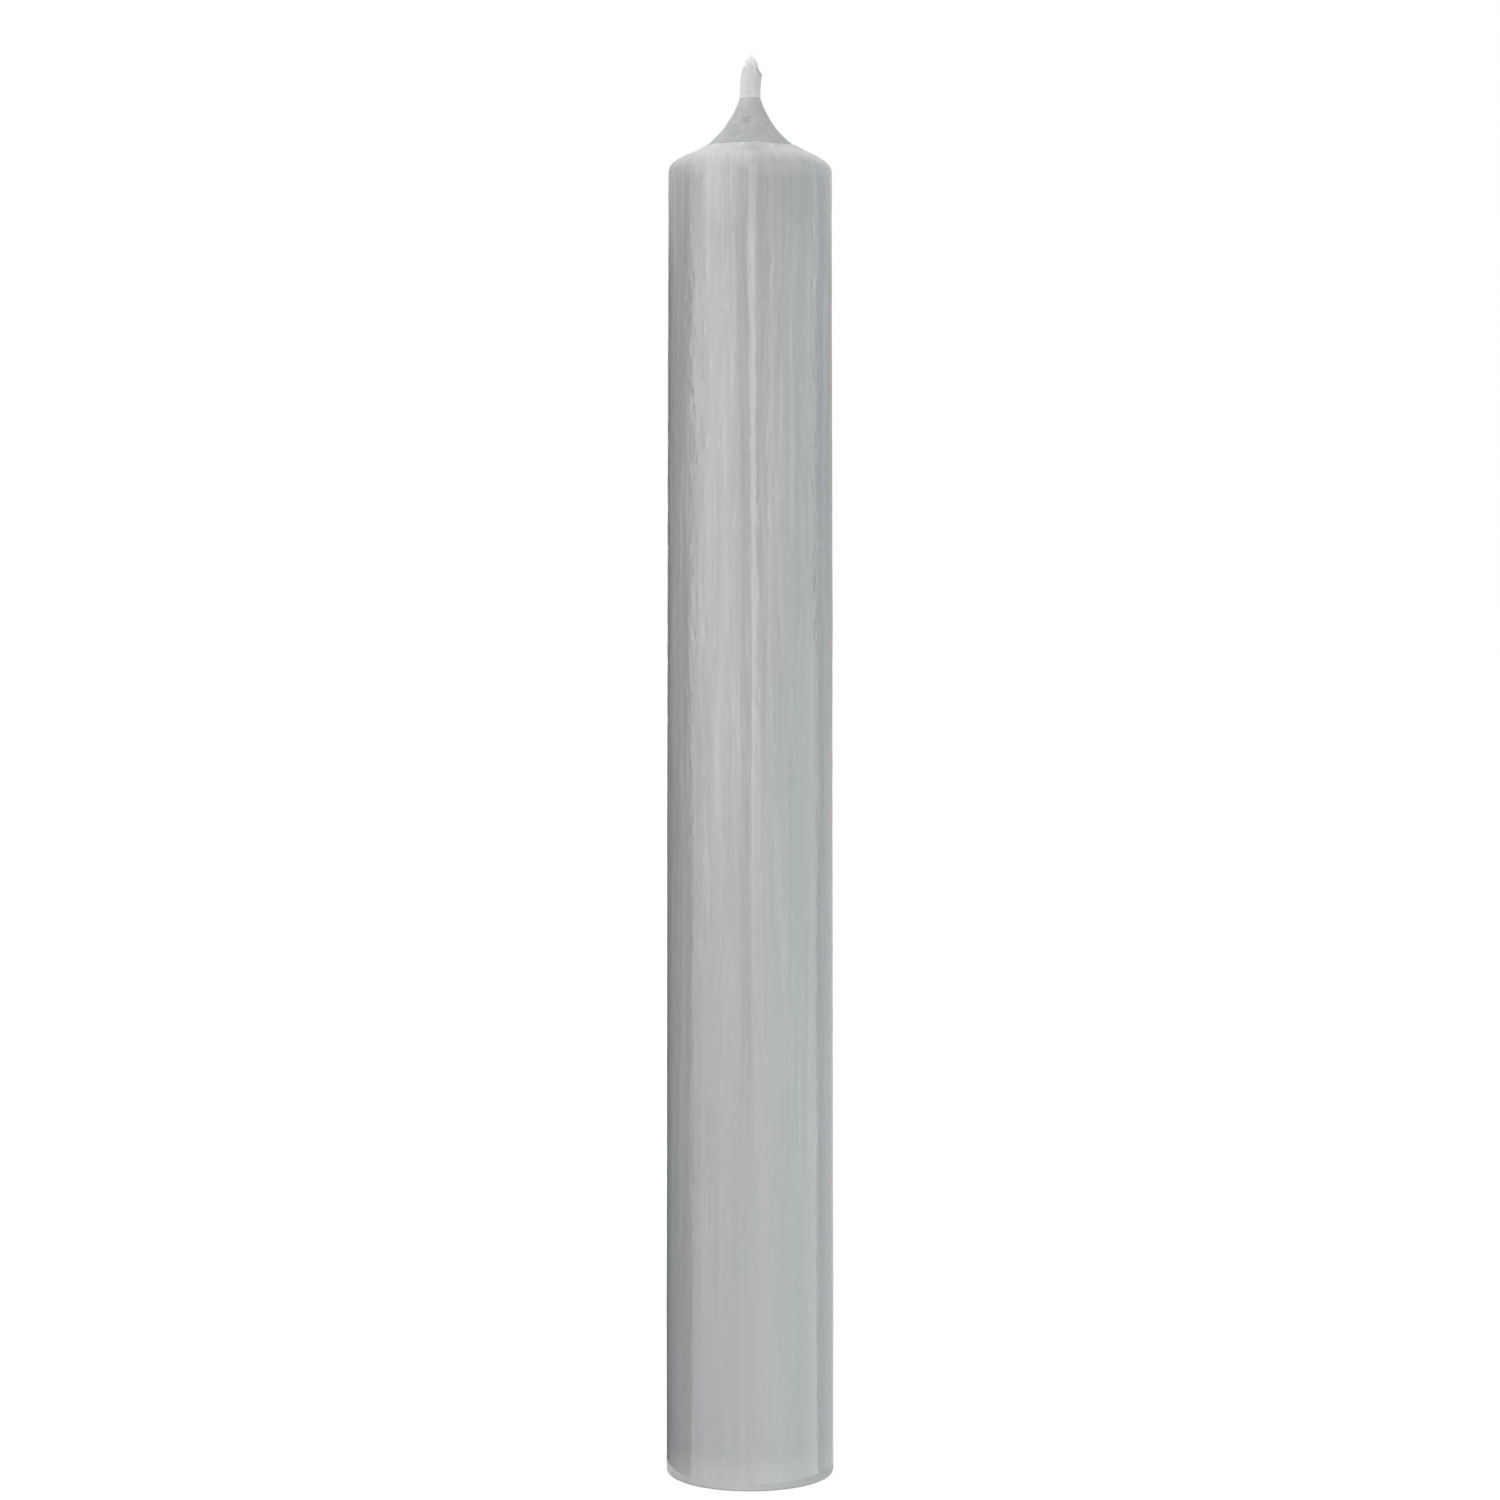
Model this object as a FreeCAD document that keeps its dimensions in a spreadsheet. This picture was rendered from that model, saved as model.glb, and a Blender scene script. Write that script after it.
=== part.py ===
import FreeCAD, Part

import math
import os

import Sketcher

# Dinner candle: a nearly straight wax column with a hollow-sided head, and a flat braided
# wick that runs from the foot to a short primed and frayed end above the head.
# Millimetres, +Z up, origin at the centre of the flat foot.

SHEET = "Sizes"

# Driving sizes: alias, value, what it is
SIZES = (
    ("foot_diameter", 21.9, "foot, across, for a 22 mm holder socket"),
    ("foot_length", 22.0, "parallel stretch of the foot that stands in the socket"),
    ("foot_edge_radius", 0.5, "rounding of the cut foot's edge"),
    ("column_height", 169.35, "foot to the end of the straight side"),
    ("column_top_diameter", 21.04, "column across the top of the straight side"),
    ("edge_radius", 1.5, "tight rounding from the side into the shoulder"),
    ("edge_turn", 45.0, "slope in degrees where the tight rounding ends"),
    ("shoulder_radius", 4.5, "wider rounding over the shoulder"),
    ("shoulder_slope", 22.25, "slope in degrees of the shoulder's inner part"),
    ("shoulder_width", 3.82, "side of the column in to the crease below the head"),
    ("coat_band_width", 0.77, "crease in to the edge of the outer coat"),
    ("coat_band_rise", 0.53, "crease up to the edge of the outer coat"),
    ("coat_thickness", 0.08, "step at the edge of the outer coat"),
    ("head_rise", 9.55, "end of the straight side up to the neck"),
    ("head_radius", 12.0, "hollow side of the head, seen in section"),
    ("neck_diameter", 2.66, "top of the head"),
    ("wick_width", 2.1, "flat braid, across its broad side"),
    ("wick_thickness", 1.6, "flat braid, across its narrow side"),
    ("sleeve_wall", 0.28, "primer wax on the exposed wick"),
    ("sleeve_length", 3.85, "primed wick above the neck"),
    ("wick_bend_radius", 20.0, "lean of the exposed wick"),
    ("snip_height", 0.7, "oblique cut at the wick's top, along it"),
    ("snip_width", 0.75, "oblique cut at the wick's top, across it"),
    ("yarn_diameter", 0.5, "frayed yarn end where it leaves the braid"),
    ("yarn_tip_diameter", 0.16, "frayed yarn end at its tip"),
    ("yarn_root", 0.5, "how deep a yarn end starts inside the braid"),
    ("yarn_inset", 0.08, "outer yarn ends inside the braid's edge"),
    ("yarn_lean", 10.0, "degrees that the outer yarn ends lean inwards"),
    ("tuft_length", 1.75, "frayed yarn ends above the braid"),
    ("tuft_offset", 0.22, "tuft's middle to the left of the braid's, away from the cut"),
)

VALUE = {alias: value for alias, value, _ in SIZES}

# What follows from the driving sizes, as expressions on the sheet
NECK_Z = f"{SHEET}.column_height + {SHEET}.head_rise"
BEND_ANGLE = f"{SHEET}.sleeve_length / {SHEET}.wick_bend_radius * 180 / pi"

# Counts and shares
OUTER_YARNS = 6
RING_TURN = 0.4
SNIP_OVERRUN = 0.25

# Sketcher's own numbers for the origin, the horizontal axis and the points of an edge
ORIGIN = (-1, 1)
X_AXIS = -1
START, END, CENTRE = range(1, 4)


def vector(x, y, z=0.0):
    return FreeCAD.Vector(x, y, z)


def make_sheet(doc):
    """Writes each driving size into its own named cell."""
    sheet = doc.addObject("Spreadsheet::Sheet", SHEET)
    for row, (alias, value, note) in enumerate(SIZES, start=1):
        sheet.set(f"A{row}", alias)
        sheet.set(f"B{row}", str(value))
        sheet.setAlias(f"B{row}", alias)
        sheet.set(f"C{row}", note)
    doc.recompute()
    return sheet


def make_body(doc, label):
    body = doc.addObject("PartDesign::Body", label)
    body.Label = label
    return body


def make_sketch(body, name, plane, height=None):
    """A sketch on one of the body's own origin planes, lifted by an expression if one is given."""
    sketch = body.newObject("Sketcher::SketchObject", name)
    support = next(f for f in body.Origin.OriginFeatures if f.Role == plane)
    sketch.AttachmentSupport = [(support, "")]
    sketch.MapMode = "FlatFace"
    if height:
        sketch.setExpression("AttachmentOffset.Base.z", height)
    return sketch


def hold(sketch, kind, *where, to=None):
    """Adds one constraint, and ties its value to the sheet if an expression is given."""
    if to is None:
        return sketch.addConstraint(Sketcher.Constraint(kind, *where))
    *where, start = where
    index = sketch.addConstraint(Sketcher.Constraint(kind, *where, start))
    sketch.setExpression(f"Constraints[{index}]", to)
    return index


def place_point(sketch, line, end, x, z, x_to, z_to):
    """Fixes one end of a line by its distances from the origin."""
    hold(sketch, "DistanceX", *ORIGIN, line, end, x, to=x_to)
    hold(sketch, "DistanceY", *ORIGIN, line, end, z, to=z_to)


def arc_through(centre, start, end):
    """An arc about a centre, anticlockwise from start to end."""
    first = math.atan2(start.y - centre.y, start.x - centre.x)
    last = math.atan2(end.y - centre.y, end.x - centre.x)
    radius = (start - centre).Length
    circle = Part.Circle(centre, vector(0, 0, 1), radius)
    return Part.ArcOfCircle(circle, first, last)


def slope_normal(degrees):
    """Outward normal, in the section, of a surface that slopes so many degrees."""
    turn = math.radians(degrees)
    return vector(math.sin(turn), math.cos(turn))


def section_points(v):
    """Where the column's half section turns, worked out from the driving sizes."""
    foot = vector(v["foot_diameter"] / 2, 0)
    foot_top = vector(foot.x, v["foot_length"])
    side_top = vector(v["column_top_diameter"] / 2, v["column_height"])
    side = (side_top - foot_top).normalize()
    edge_centre = side_top + vector(-side.y, side.x) * v["edge_radius"]
    edge_end = edge_centre + slope_normal(v["edge_turn"]) * v["edge_radius"]
    shoulder_centre = edge_end - slope_normal(v["edge_turn"]) * v["shoulder_radius"]
    slope_end = shoulder_centre + slope_normal(v["shoulder_slope"]) * v["shoulder_radius"]
    crease_x = side_top.x - v["shoulder_width"]
    climb = (slope_end.x - crease_x) * math.tan(math.radians(v["shoulder_slope"]))
    crease = vector(crease_x, slope_end.y + climb)
    coat_edge = crease + vector(-v["coat_band_width"], v["coat_band_rise"])
    head_foot = coat_edge - vector(v["coat_thickness"] / 2, v["coat_thickness"])
    neck = vector(v["neck_diameter"] / 2, v["column_height"] + v["head_rise"])
    # The head's hollow side is an arc whose centre lies outside and above it.
    chord = neck - head_foot
    outward = vector(chord.y, -chord.x).normalize()
    rise = math.sqrt(v["head_radius"] ** 2 - (chord.Length / 2) ** 2)
    head_centre = head_foot + chord * 0.5 + outward * rise
    return {
        "foot": foot,
        "foot_top": foot_top,
        "side_top": side_top,
        "edge_centre": edge_centre,
        "edge_end": edge_end,
        "shoulder_centre": shoulder_centre,
        "slope_end": slope_end,
        "crease": crease,
        "coat_edge": coat_edge,
        "head_foot": head_foot,
        "neck": neck,
        "head_centre": head_centre,
    }


def draw_column_section(sketch):
    """Half section of column, shoulder and head, closed along the axis."""
    p = section_points(VALUE)
    bottom = vector(0, 0)
    top = vector(0, p["neck"].y)

    def line(start, end, guide=False):
        return sketch.addGeometry(Part.LineSegment(start, end), guide)

    def arc(centre, start, end):
        return sketch.addGeometry(arc_through(centre, start, end))

    base = line(bottom, p["foot"])
    foot = line(p["foot"], p["foot_top"])
    side = line(p["foot_top"], p["side_top"])
    edge = arc(p["edge_centre"], p["side_top"], p["edge_end"])
    shoulder = arc(p["shoulder_centre"], p["edge_end"], p["slope_end"])
    slope = line(p["slope_end"], p["crease"])
    coat = line(p["crease"], p["coat_edge"])
    step = line(p["coat_edge"], p["head_foot"])
    # Anticlockwise about its own centre, the hollow side runs down from neck to foot.
    head = arc(p["head_centre"], p["neck"], p["head_foot"])
    rim = line(p["neck"], top)
    axis = line(top, bottom)
    guide = line(p["shoulder_centre"], p["edge_end"], guide=True)

    chain = (
        (base, END, foot, START),
        (foot, END, side, START),
        (edge, END, shoulder, START),
        (slope, END, coat, START),
        (coat, END, step, START),
        (step, END, head, END),
        (head, START, rim, START),
        (rim, END, axis, START),
        (axis, END, base, START),
        (guide, END, edge, END),
        (guide, START, shoulder, CENTRE),
    )
    for link in chain:
        hold(sketch, "Coincident", *link)
    hold(sketch, "Tangent", side, END, edge, START)
    hold(sketch, "Tangent", shoulder, END, slope, START)
    hold(sketch, "PointOnObject", edge, CENTRE, guide)
    hold(sketch, "Coincident", base, START, *ORIGIN)
    hold(sketch, "Horizontal", base)
    hold(sketch, "Vertical", foot)
    hold(sketch, "Vertical", axis)
    hold(sketch, "Horizontal", rim)

    place_point(
        sketch, foot, END, p["foot_top"].x, p["foot_top"].y,
        f"{SHEET}.foot_diameter / 2", f"{SHEET}.foot_length",
    )
    place_point(
        sketch, side, END, p["side_top"].x, p["side_top"].y,
        f"{SHEET}.column_top_diameter / 2", f"{SHEET}.column_height",
    )
    place_point(
        sketch, rim, START, p["neck"].x, p["neck"].y, f"{SHEET}.neck_diameter / 2", NECK_Z,
    )
    step_in = VALUE["coat_thickness"] / 2
    across = (
        (slope, END, side, END, VALUE["shoulder_width"], f"{SHEET}.shoulder_width"),
        (coat, END, coat, START, VALUE["coat_band_width"], f"{SHEET}.coat_band_width"),
        (step, END, step, START, step_in, f"{SHEET}.coat_thickness / 2"),
    )
    for *ends, start, to in across:
        hold(sketch, "DistanceX", *ends, start, to=to)
    upright = (
        (coat, START, coat, END, VALUE["coat_band_rise"], f"{SHEET}.coat_band_rise"),
        (step, END, step, START, VALUE["coat_thickness"], f"{SHEET}.coat_thickness"),
    )
    for *ends, start, to in upright:
        hold(sketch, "DistanceY", *ends, start, to=to)
    for curve, size in ((edge, "edge_radius"), (shoulder, "shoulder_radius"), (head, "head_radius")):
        hold(sketch, "Radius", curve, VALUE[size], to=f"{SHEET}.{size}")
    guide_angle = math.radians(90 - VALUE["edge_turn"])
    hold(sketch, "Angle", guide, guide_angle, to=f"90 deg - {SHEET}.edge_turn * 1 deg")
    slope_angle = math.radians(180 - VALUE["shoulder_slope"])
    hold(sketch, "Angle", slope, slope_angle, to=f"180 deg - {SHEET}.shoulder_slope * 1 deg")


def draw_slot(sketch, width, thickness, width_to, thickness_to):
    """A slot with round ends, centred on the origin: the section of a flat braid."""
    reach = (width - thickness) / 2
    radius = thickness / 2
    up = vector(0, radius)
    right_centre = vector(reach, 0)
    left_centre = vector(-reach, 0)
    low = sketch.addGeometry(Part.LineSegment(left_centre - up, right_centre - up))
    right = sketch.addGeometry(arc_through(right_centre, right_centre - up, right_centre + up))
    high = sketch.addGeometry(Part.LineSegment(right_centre + up, left_centre + up))
    left = sketch.addGeometry(arc_through(left_centre, left_centre + up, left_centre - up))
    for first, second in ((low, right), (right, high), (high, left), (left, low)):
        hold(sketch, "Tangent", first, END, second, START)
    hold(sketch, "PointOnObject", right, CENTRE, X_AXIS)
    hold(sketch, "PointOnObject", left, CENTRE, X_AXIS)
    hold(sketch, "Horizontal", low)
    reach_to = f"({width_to} - ({thickness_to})) / 2"
    hold(sketch, "DistanceX", *ORIGIN, right, CENTRE, reach, to=reach_to)
    hold(sketch, "DistanceX", left, CENTRE, *ORIGIN, reach, to=reach_to)
    hold(sketch, "Radius", right, radius, to=f"({thickness_to}) / 2")


def draw_wick_slot(sketch):
    draw_slot(
        sketch, VALUE["wick_width"], VALUE["wick_thickness"],
        f"{SHEET}.wick_width", f"{SHEET}.wick_thickness",
    )


def draw_sleeve_slot(sketch):
    wall = 2 * VALUE["sleeve_wall"]
    draw_slot(
        sketch, VALUE["wick_width"] + wall, VALUE["wick_thickness"] + wall,
        f"{SHEET}.wick_width + 2 * {SHEET}.sleeve_wall",
        f"{SHEET}.wick_thickness + 2 * {SHEET}.sleeve_wall",
    )


def add_bend_axis(sketch):
    """A construction line that the exposed wick leans about."""
    reach = VALUE["wick_bend_radius"]
    axis = sketch.addGeometry(Part.LineSegment(vector(reach, -1), vector(reach, 1)), True)
    hold(sketch, "Vertical", axis)
    hold(sketch, "DistanceX", *ORIGIN, axis, START, reach, to=f"{SHEET}.wick_bend_radius")
    hold(sketch, "DistanceY", axis, START, *ORIGIN, 1.0)
    hold(sketch, "DistanceY", *ORIGIN, axis, END, 1.0)


def revolve(body, name, sketch, axis, angle_to=None):
    feature = body.newObject("PartDesign::Revolution", name)
    feature.Profile = sketch
    feature.ReferenceAxis = (sketch, [axis])
    feature.Angle = 360.0
    if angle_to:
        feature.setExpression("Angle", angle_to)
    sketch.Visibility = False
    return feature


def make_wax_body(doc):
    """The wax column: straight side, rounded shoulder, coat edge, hollow head, wick channel."""
    body = make_body(doc, "wax_body")
    section = make_sketch(body, "column_section", "XZ_Plane")
    draw_column_section(section)
    doc.recompute()
    turned = revolve(body, "column_turned", section, "V_Axis")
    doc.recompute()

    # The only round edge that lies in the foot's plane
    foot_edges = [
        f"Edge{number}"
        for number, edge in enumerate(turned.Shape.Edges, start=1)
        if edge.BoundBox.ZMax < 1e-6
    ]
    rounding = body.newObject("PartDesign::Fillet", "foot_rounding")
    rounding.Base = (turned, foot_edges)
    rounding.setExpression("Radius", f"{SHEET}.foot_edge_radius")
    doc.recompute()

    channel_section = make_sketch(body, "channel_section", "XY_Plane")
    draw_wick_slot(channel_section)
    channel = body.newObject("PartDesign::Pocket", "wick_channel")
    channel.Profile = channel_section
    channel.Type = "ThroughAll"
    channel.Reversed = True
    doc.recompute()
    return body


def add_wick_top(body):
    """A frame of the body's own at the leaning wick's top, with its Z along the wick."""
    top = body.newObject("PartDesign::CoordinateSystem", f"{body.Label}_top")
    top.Placement.Rotation = FreeCAD.Rotation(vector(0, 1), 1)
    lean = f"({BEND_ANGLE}) * 1 deg"
    top.setExpression("Placement.Base.x", f"{SHEET}.wick_bend_radius * (1 - cos({lean}))")
    top.setExpression("Placement.Base.z", f"{NECK_Z} + {SHEET}.wick_bend_radius * sin({lean})")
    top.setExpression("Placement.Rotation.Angle", lean)
    return top


def snip(doc, body, top):
    """The scissor cut across one corner of the wick's top, through whichever piece this is."""
    wide = VALUE["snip_width"]
    tall = VALUE["snip_height"]
    half = VALUE["wick_width"] / 2 + VALUE["sleeve_wall"]
    over = 1 + SNIP_OVERRUN
    upper = vector(half - wide * over, tall * SNIP_OVERRUN)
    lower = vector(half + wide * SNIP_OVERRUN, -tall * over)
    corner = vector(lower.x, upper.y)
    sketch = body.newObject("Sketcher::SketchObject", f"{body.Label}_snip_section")
    sketch.AttachmentSupport = [(top, "")]
    sketch.MapMode = "ObjectXZ"
    cut = sketch.addGeometry(Part.LineSegment(upper, lower))
    side = sketch.addGeometry(Part.LineSegment(lower, corner))
    lid = sketch.addGeometry(Part.LineSegment(corner, upper))
    for link in ((cut, END, side, START), (side, END, lid, START), (lid, END, cut, START)):
        hold(sketch, "Coincident", *link)
    hold(sketch, "Vertical", side)
    hold(sketch, "Horizontal", lid)
    half_to = f"{SHEET}.wick_width / 2 + {SHEET}.sleeve_wall"
    place_point(
        sketch, cut, START, upper.x, upper.y,
        f"{half_to} - {SHEET}.snip_width * {over}",
        f"{SHEET}.snip_height * {SNIP_OVERRUN}",
    )
    hold(
        sketch, "DistanceX", cut, START, cut, END, lower.x - upper.x,
        to=f"{SHEET}.snip_width * {over + SNIP_OVERRUN}",
    )
    hold(
        sketch, "DistanceY", cut, END, cut, START, upper.y - lower.y,
        to=f"{SHEET}.snip_height * {over + SNIP_OVERRUN}",
    )
    feature = body.newObject("PartDesign::Pocket", f"{body.Label}_snip")
    feature.Profile = sketch
    feature.Type = "ThroughAll"
    feature.SideType = "Symmetric"
    sketch.Visibility = False
    doc.recompute()


def make_wick(doc):
    """The flat braid, from the foot through the wax, leaning above the neck, with a frayed end."""
    body = make_body(doc, "wick")
    cord_section = make_sketch(body, "cord_section", "XY_Plane")
    draw_wick_slot(cord_section)
    cord = body.newObject("PartDesign::Pad", "cord_in_wax")
    cord.Profile = cord_section
    cord.setExpression("Length", NECK_Z)
    doc.recompute()

    bend_section = make_sketch(body, "bend_section", "XY_Plane", NECK_Z)
    draw_wick_slot(bend_section)
    add_bend_axis(bend_section)
    revolve(body, "cord_bend", bend_section, "Axis0", BEND_ANGLE)
    top = add_wick_top(body)
    doc.recompute()
    snip(doc, body, top)
    add_yarn_ends(doc, body, top)
    return body


def add_yarn(body, top, number, around, length, spread):
    """One tapered yarn end, set out on an oval round the tuft's middle and leaning to it."""
    yarn = body.newObject("PartDesign::AdditiveCone", f"yarn_end_{number}")
    yarn.AttachmentSupport = [(top, "")]
    yarn.MapMode = "ObjectXY"
    turn = math.radians(around)
    lean_axis = vector(-math.sin(turn), math.cos(turn)) * -1
    yarn.AttachmentOffset = FreeCAD.Placement(vector(0, 0), FreeCAD.Rotation(lean_axis, 1))
    inset = f"{SHEET}.yarn_diameter / 2 - {SHEET}.yarn_inset"
    half_width = f"({SHEET}.wick_width / 2 - {inset} - {SHEET}.tuft_offset)"
    half_depth = f"({SHEET}.wick_thickness / 2 - {inset})"
    east = f"{half_width} * {spread} * cos({around} deg)"
    north = f"{half_depth} * {spread} * sin({around} deg)"
    yarn.setExpression("Radius1", f"{SHEET}.yarn_diameter / 2")
    yarn.setExpression("Radius2", f"{SHEET}.yarn_tip_diameter / 2")
    yarn.setExpression("Height", f"{SHEET}.yarn_root + {SHEET}.tuft_length * {length:.3f}")
    yarn.setExpression("AttachmentOffset.Base.x", f"{east} - {SHEET}.tuft_offset")
    yarn.setExpression("AttachmentOffset.Base.y", north)
    yarn.setExpression("AttachmentOffset.Base.z", f"-{SHEET}.yarn_root")
    yarn.setExpression("AttachmentOffset.Rotation.Angle", f"{SHEET}.yarn_lean * {spread} * 1 deg")


def add_yarn_ends(doc, body, top):
    """Frayed yarn ends: an uneven ring that leans in to a taller one in the middle."""
    for number in range(OUTER_YARNS):
        around = 360 * (number + RING_TURN) / OUTER_YARNS
        length = 0.72 + 0.16 * math.cos(math.radians(3 * around + 40))
        add_yarn(body, top, number + 1, around, length, 1.0)
    add_yarn(body, top, OUTER_YARNS + 1, 0.0, 1.0, 0.0)
    doc.recompute()


def make_wick_sleeve(doc):
    """Primer wax round the exposed wick, snipped obliquely at its top."""
    body = make_body(doc, "wick_wax_sleeve")
    section = make_sketch(body, "sleeve_section", "XY_Plane", NECK_Z)
    draw_sleeve_slot(section)
    draw_wick_slot(section)
    add_bend_axis(section)
    revolve(body, "sleeve_bend", section, "Axis0", BEND_ANGLE)
    top = add_wick_top(body)
    doc.recompute()
    snip(doc, body, top)
    return body


def check_document(doc, bodies):
    """Stops if any object failed, or if a piece isn't one valid solid."""
    for item in doc.Objects:
        if "Invalid" in item.State or "Error" in item.State:
            raise SystemExit(f"{item.Name} failed: {item.State}")
    for body in bodies:
        shape = body.Shape
        if shape.isNull() or not shape.isValid():
            raise SystemExit(f"{body.Label} has no valid shape")
        box = shape.optimalBoundingBox()
        print(
            f"{body.Label}: {len(shape.Solids)} solid, {len(shape.Faces)} faces, "
            f"{shape.Volume:.2f} mm3, X {box.XMin:.2f}..{box.XMax:.2f}, "
            f"Y {box.YMin:.2f}..{box.YMax:.2f}, Z {box.ZMin:.2f}..{box.ZMax:.2f}"
        )


def main():
    doc = FreeCAD.newDocument("dinner_candle")
    make_sheet(doc)
    bodies = [make_wax_body(doc), make_wick(doc), make_wick_sleeve(doc)]
    doc.recompute()
    check_document(doc, bodies)
    os.makedirs("parts", exist_ok=True)
    for body in bodies:
        body.Shape.exportStep(f"parts/{body.Label}.step")
    return doc


main()
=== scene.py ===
import math
import random

import bmesh
import bpy
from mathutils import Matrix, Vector


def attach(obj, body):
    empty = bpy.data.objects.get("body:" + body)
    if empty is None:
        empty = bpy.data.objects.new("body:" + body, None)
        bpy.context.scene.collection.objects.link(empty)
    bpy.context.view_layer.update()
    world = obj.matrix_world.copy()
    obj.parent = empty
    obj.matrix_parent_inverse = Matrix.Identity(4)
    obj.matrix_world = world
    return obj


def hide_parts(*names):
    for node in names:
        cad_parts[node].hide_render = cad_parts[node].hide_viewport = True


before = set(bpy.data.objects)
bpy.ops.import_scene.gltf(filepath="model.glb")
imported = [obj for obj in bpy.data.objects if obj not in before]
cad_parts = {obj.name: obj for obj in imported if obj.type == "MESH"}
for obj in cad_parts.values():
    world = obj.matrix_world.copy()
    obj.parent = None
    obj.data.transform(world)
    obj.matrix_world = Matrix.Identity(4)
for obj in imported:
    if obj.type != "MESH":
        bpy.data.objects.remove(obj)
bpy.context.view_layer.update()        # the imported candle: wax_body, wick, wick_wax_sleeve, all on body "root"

mm = 0.001
fullTurn = 2 * math.pi
samePoint = 0.0005 * mm       # points nearer than this are merged
finePoint = 0.0001 * mm       # the same where a piece has fine fibres, and at a cut
offAxis = 0.001 * mm          # nearer to an axis or a level than this counts as on it


# Shared by the pieces

def deselectAll():
    if bpy.context.mode != "OBJECT":
        bpy.ops.object.mode_set(mode="OBJECT")
    bpy.ops.object.select_all(action="DESELECT")


def nameIt(name):
    piece = bpy.context.object
    piece.name = name
    piece.data.name = name
    return piece


def pick(piece):
    deselectAll()
    piece.select_set(True)
    bpy.context.view_layer.objects.active = piece
    return piece


def selectVerts(test):
    # selects, in edit mode, the vertices whose place passes the test
    mesh = bmesh.from_edit_mesh(bpy.context.object.data)
    bpy.ops.mesh.select_all(action="DESELECT")
    bpy.ops.mesh.select_mode(type="VERT")
    for vert in mesh.verts:
        vert.select = test(vert.co)
    mesh.select_flush_mode()
    bmesh.update_edit_mesh(bpy.context.object.data)


def applyPlace(piece):
    pick(piece)
    bpy.ops.object.transform_apply(location=True, rotation=True, scale=True)
    return piece


def joinPieces(first, others):
    pick(first)
    for other in others:
        other.select_set(True)
    bpy.ops.object.join()
    return bpy.context.object


def editAll(piece):
    pick(piece)
    bpy.ops.object.mode_set(mode="EDIT")
    bpy.ops.mesh.select_all(action="SELECT")


def closeAndFaceOut(piece, merge=samePoint):
    editAll(piece)
    bpy.ops.mesh.remove_doubles(threshold=merge)
    bpy.ops.mesh.normals_make_consistent(inside=False)
    bpy.ops.object.mode_set(mode="OBJECT")


def addRing(name, around, radius, reach, height):
    # in edit mode, a flat-sided ring: two half circles, each moved outwards by reach along x
    deselectAll()
    bpy.ops.mesh.primitive_circle_add(
        vertices=around, radius=radius, fill_type="NOTHING", location=(0, 0, height)
    )
    ring = applyPlace(nameIt(name))
    bpy.ops.object.mode_set(mode="EDIT")
    for side in (-1, 1):
        selectVerts(lambda place: place.x * side > offAxis)
        bpy.ops.transform.translate(value=(side * reach, 0, 0))
    bpy.ops.mesh.select_all(action="SELECT")
    return ring


def putInOrder(piece):
    # sorts points, edges and faces by place, in edit mode, because a cut leaves them in any order
    mesh = bmesh.from_edit_mesh(piece.data)

    def rank(elements, key):
        ranks = {element: number for number, element in enumerate(sorted(elements, key=key))}
        elements.sort(key=ranks.get)
        elements.index_update()

    rank(mesh.verts, lambda vert: [round(value / finePoint) for value in vert.co])
    rank(mesh.edges, lambda edge: sorted(vert.index for vert in edge.verts))
    rank(mesh.faces, lambda face: sorted(vert.index for vert in face.verts))
    bmesh.update_edit_mesh(piece.data)


def weightGroup(piece, name, weightAt):
    # a vertex group whose weight follows the vertex's place
    group = piece.vertex_groups.new(name=name)
    for vert in piece.data.vertices:
        weight = weightAt(vert.co)
        if weight > 0:
            group.add([vert.index], weight, "REPLACE")


def addSwell(piece, height, middle, group):
    # a displacement by height where the group has weight; middle is the level that stays in place
    pick(piece)
    bpy.ops.object.modifier_add(type="DISPLACE")
    swell = piece.modifiers[-1]
    swell.strength = height
    swell.mid_level = middle
    swell.vertex_group = group
    return swell


def roughen(piece, name, grain, height, group, shift):
    # uneven surface: a noise as coarse as grain (x, y, z), up to height, where the group has weight
    relief = bpy.data.textures.new(name, "CLOUDS")
    relief.noise_scale = 1.0
    relief.noise_depth = 1
    deselectAll()
    bpy.ops.object.empty_add(location=shift)
    ruler = bpy.context.object
    ruler.scale = grain
    wave = addSwell(piece, height, 0.5, group)
    wave.texture = relief
    wave.texture_coords = "OBJECT"
    wave.texture_coords_object = ruler
    bpy.context.view_layer.update()
    bpy.ops.object.modifier_apply(modifier=wave.name)
    bpy.data.objects.remove(ruler)
    bpy.data.textures.remove(relief)


def smoothShade(piece, degrees):
    pick(piece)
    bpy.ops.object.shade_smooth_by_angle(angle=math.radians(degrees))


def easeStep(low, high, value):
    share = min(max((value - low) / (high - low), 0.0), 1.0)
    return share * share * (3 - 2 * share)


# Camera, as the photograph was taken

cameraSettings = {
    "place": (0.0, -0.480, 0.12385),
    "pitchDown": 3.45,
    "lens": 88.81,
    "sensor": 36.0,
}


def setCamera(c):
    deselectAll()
    tilt = math.radians(90 - c["pitchDown"])
    bpy.ops.object.camera_add(location=c["place"], rotation=(tilt, 0, 0))
    camera = bpy.context.object
    camera.data.lens = c["lens"]
    camera.data.sensor_fit = "HORIZONTAL"
    camera.data.sensor_width = c["sensor"]
    camera.data.clip_start = 0.01
    bpy.context.scene.camera = camera


setCamera(cameraSettings)
print("camera set")


# The wax column

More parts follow.
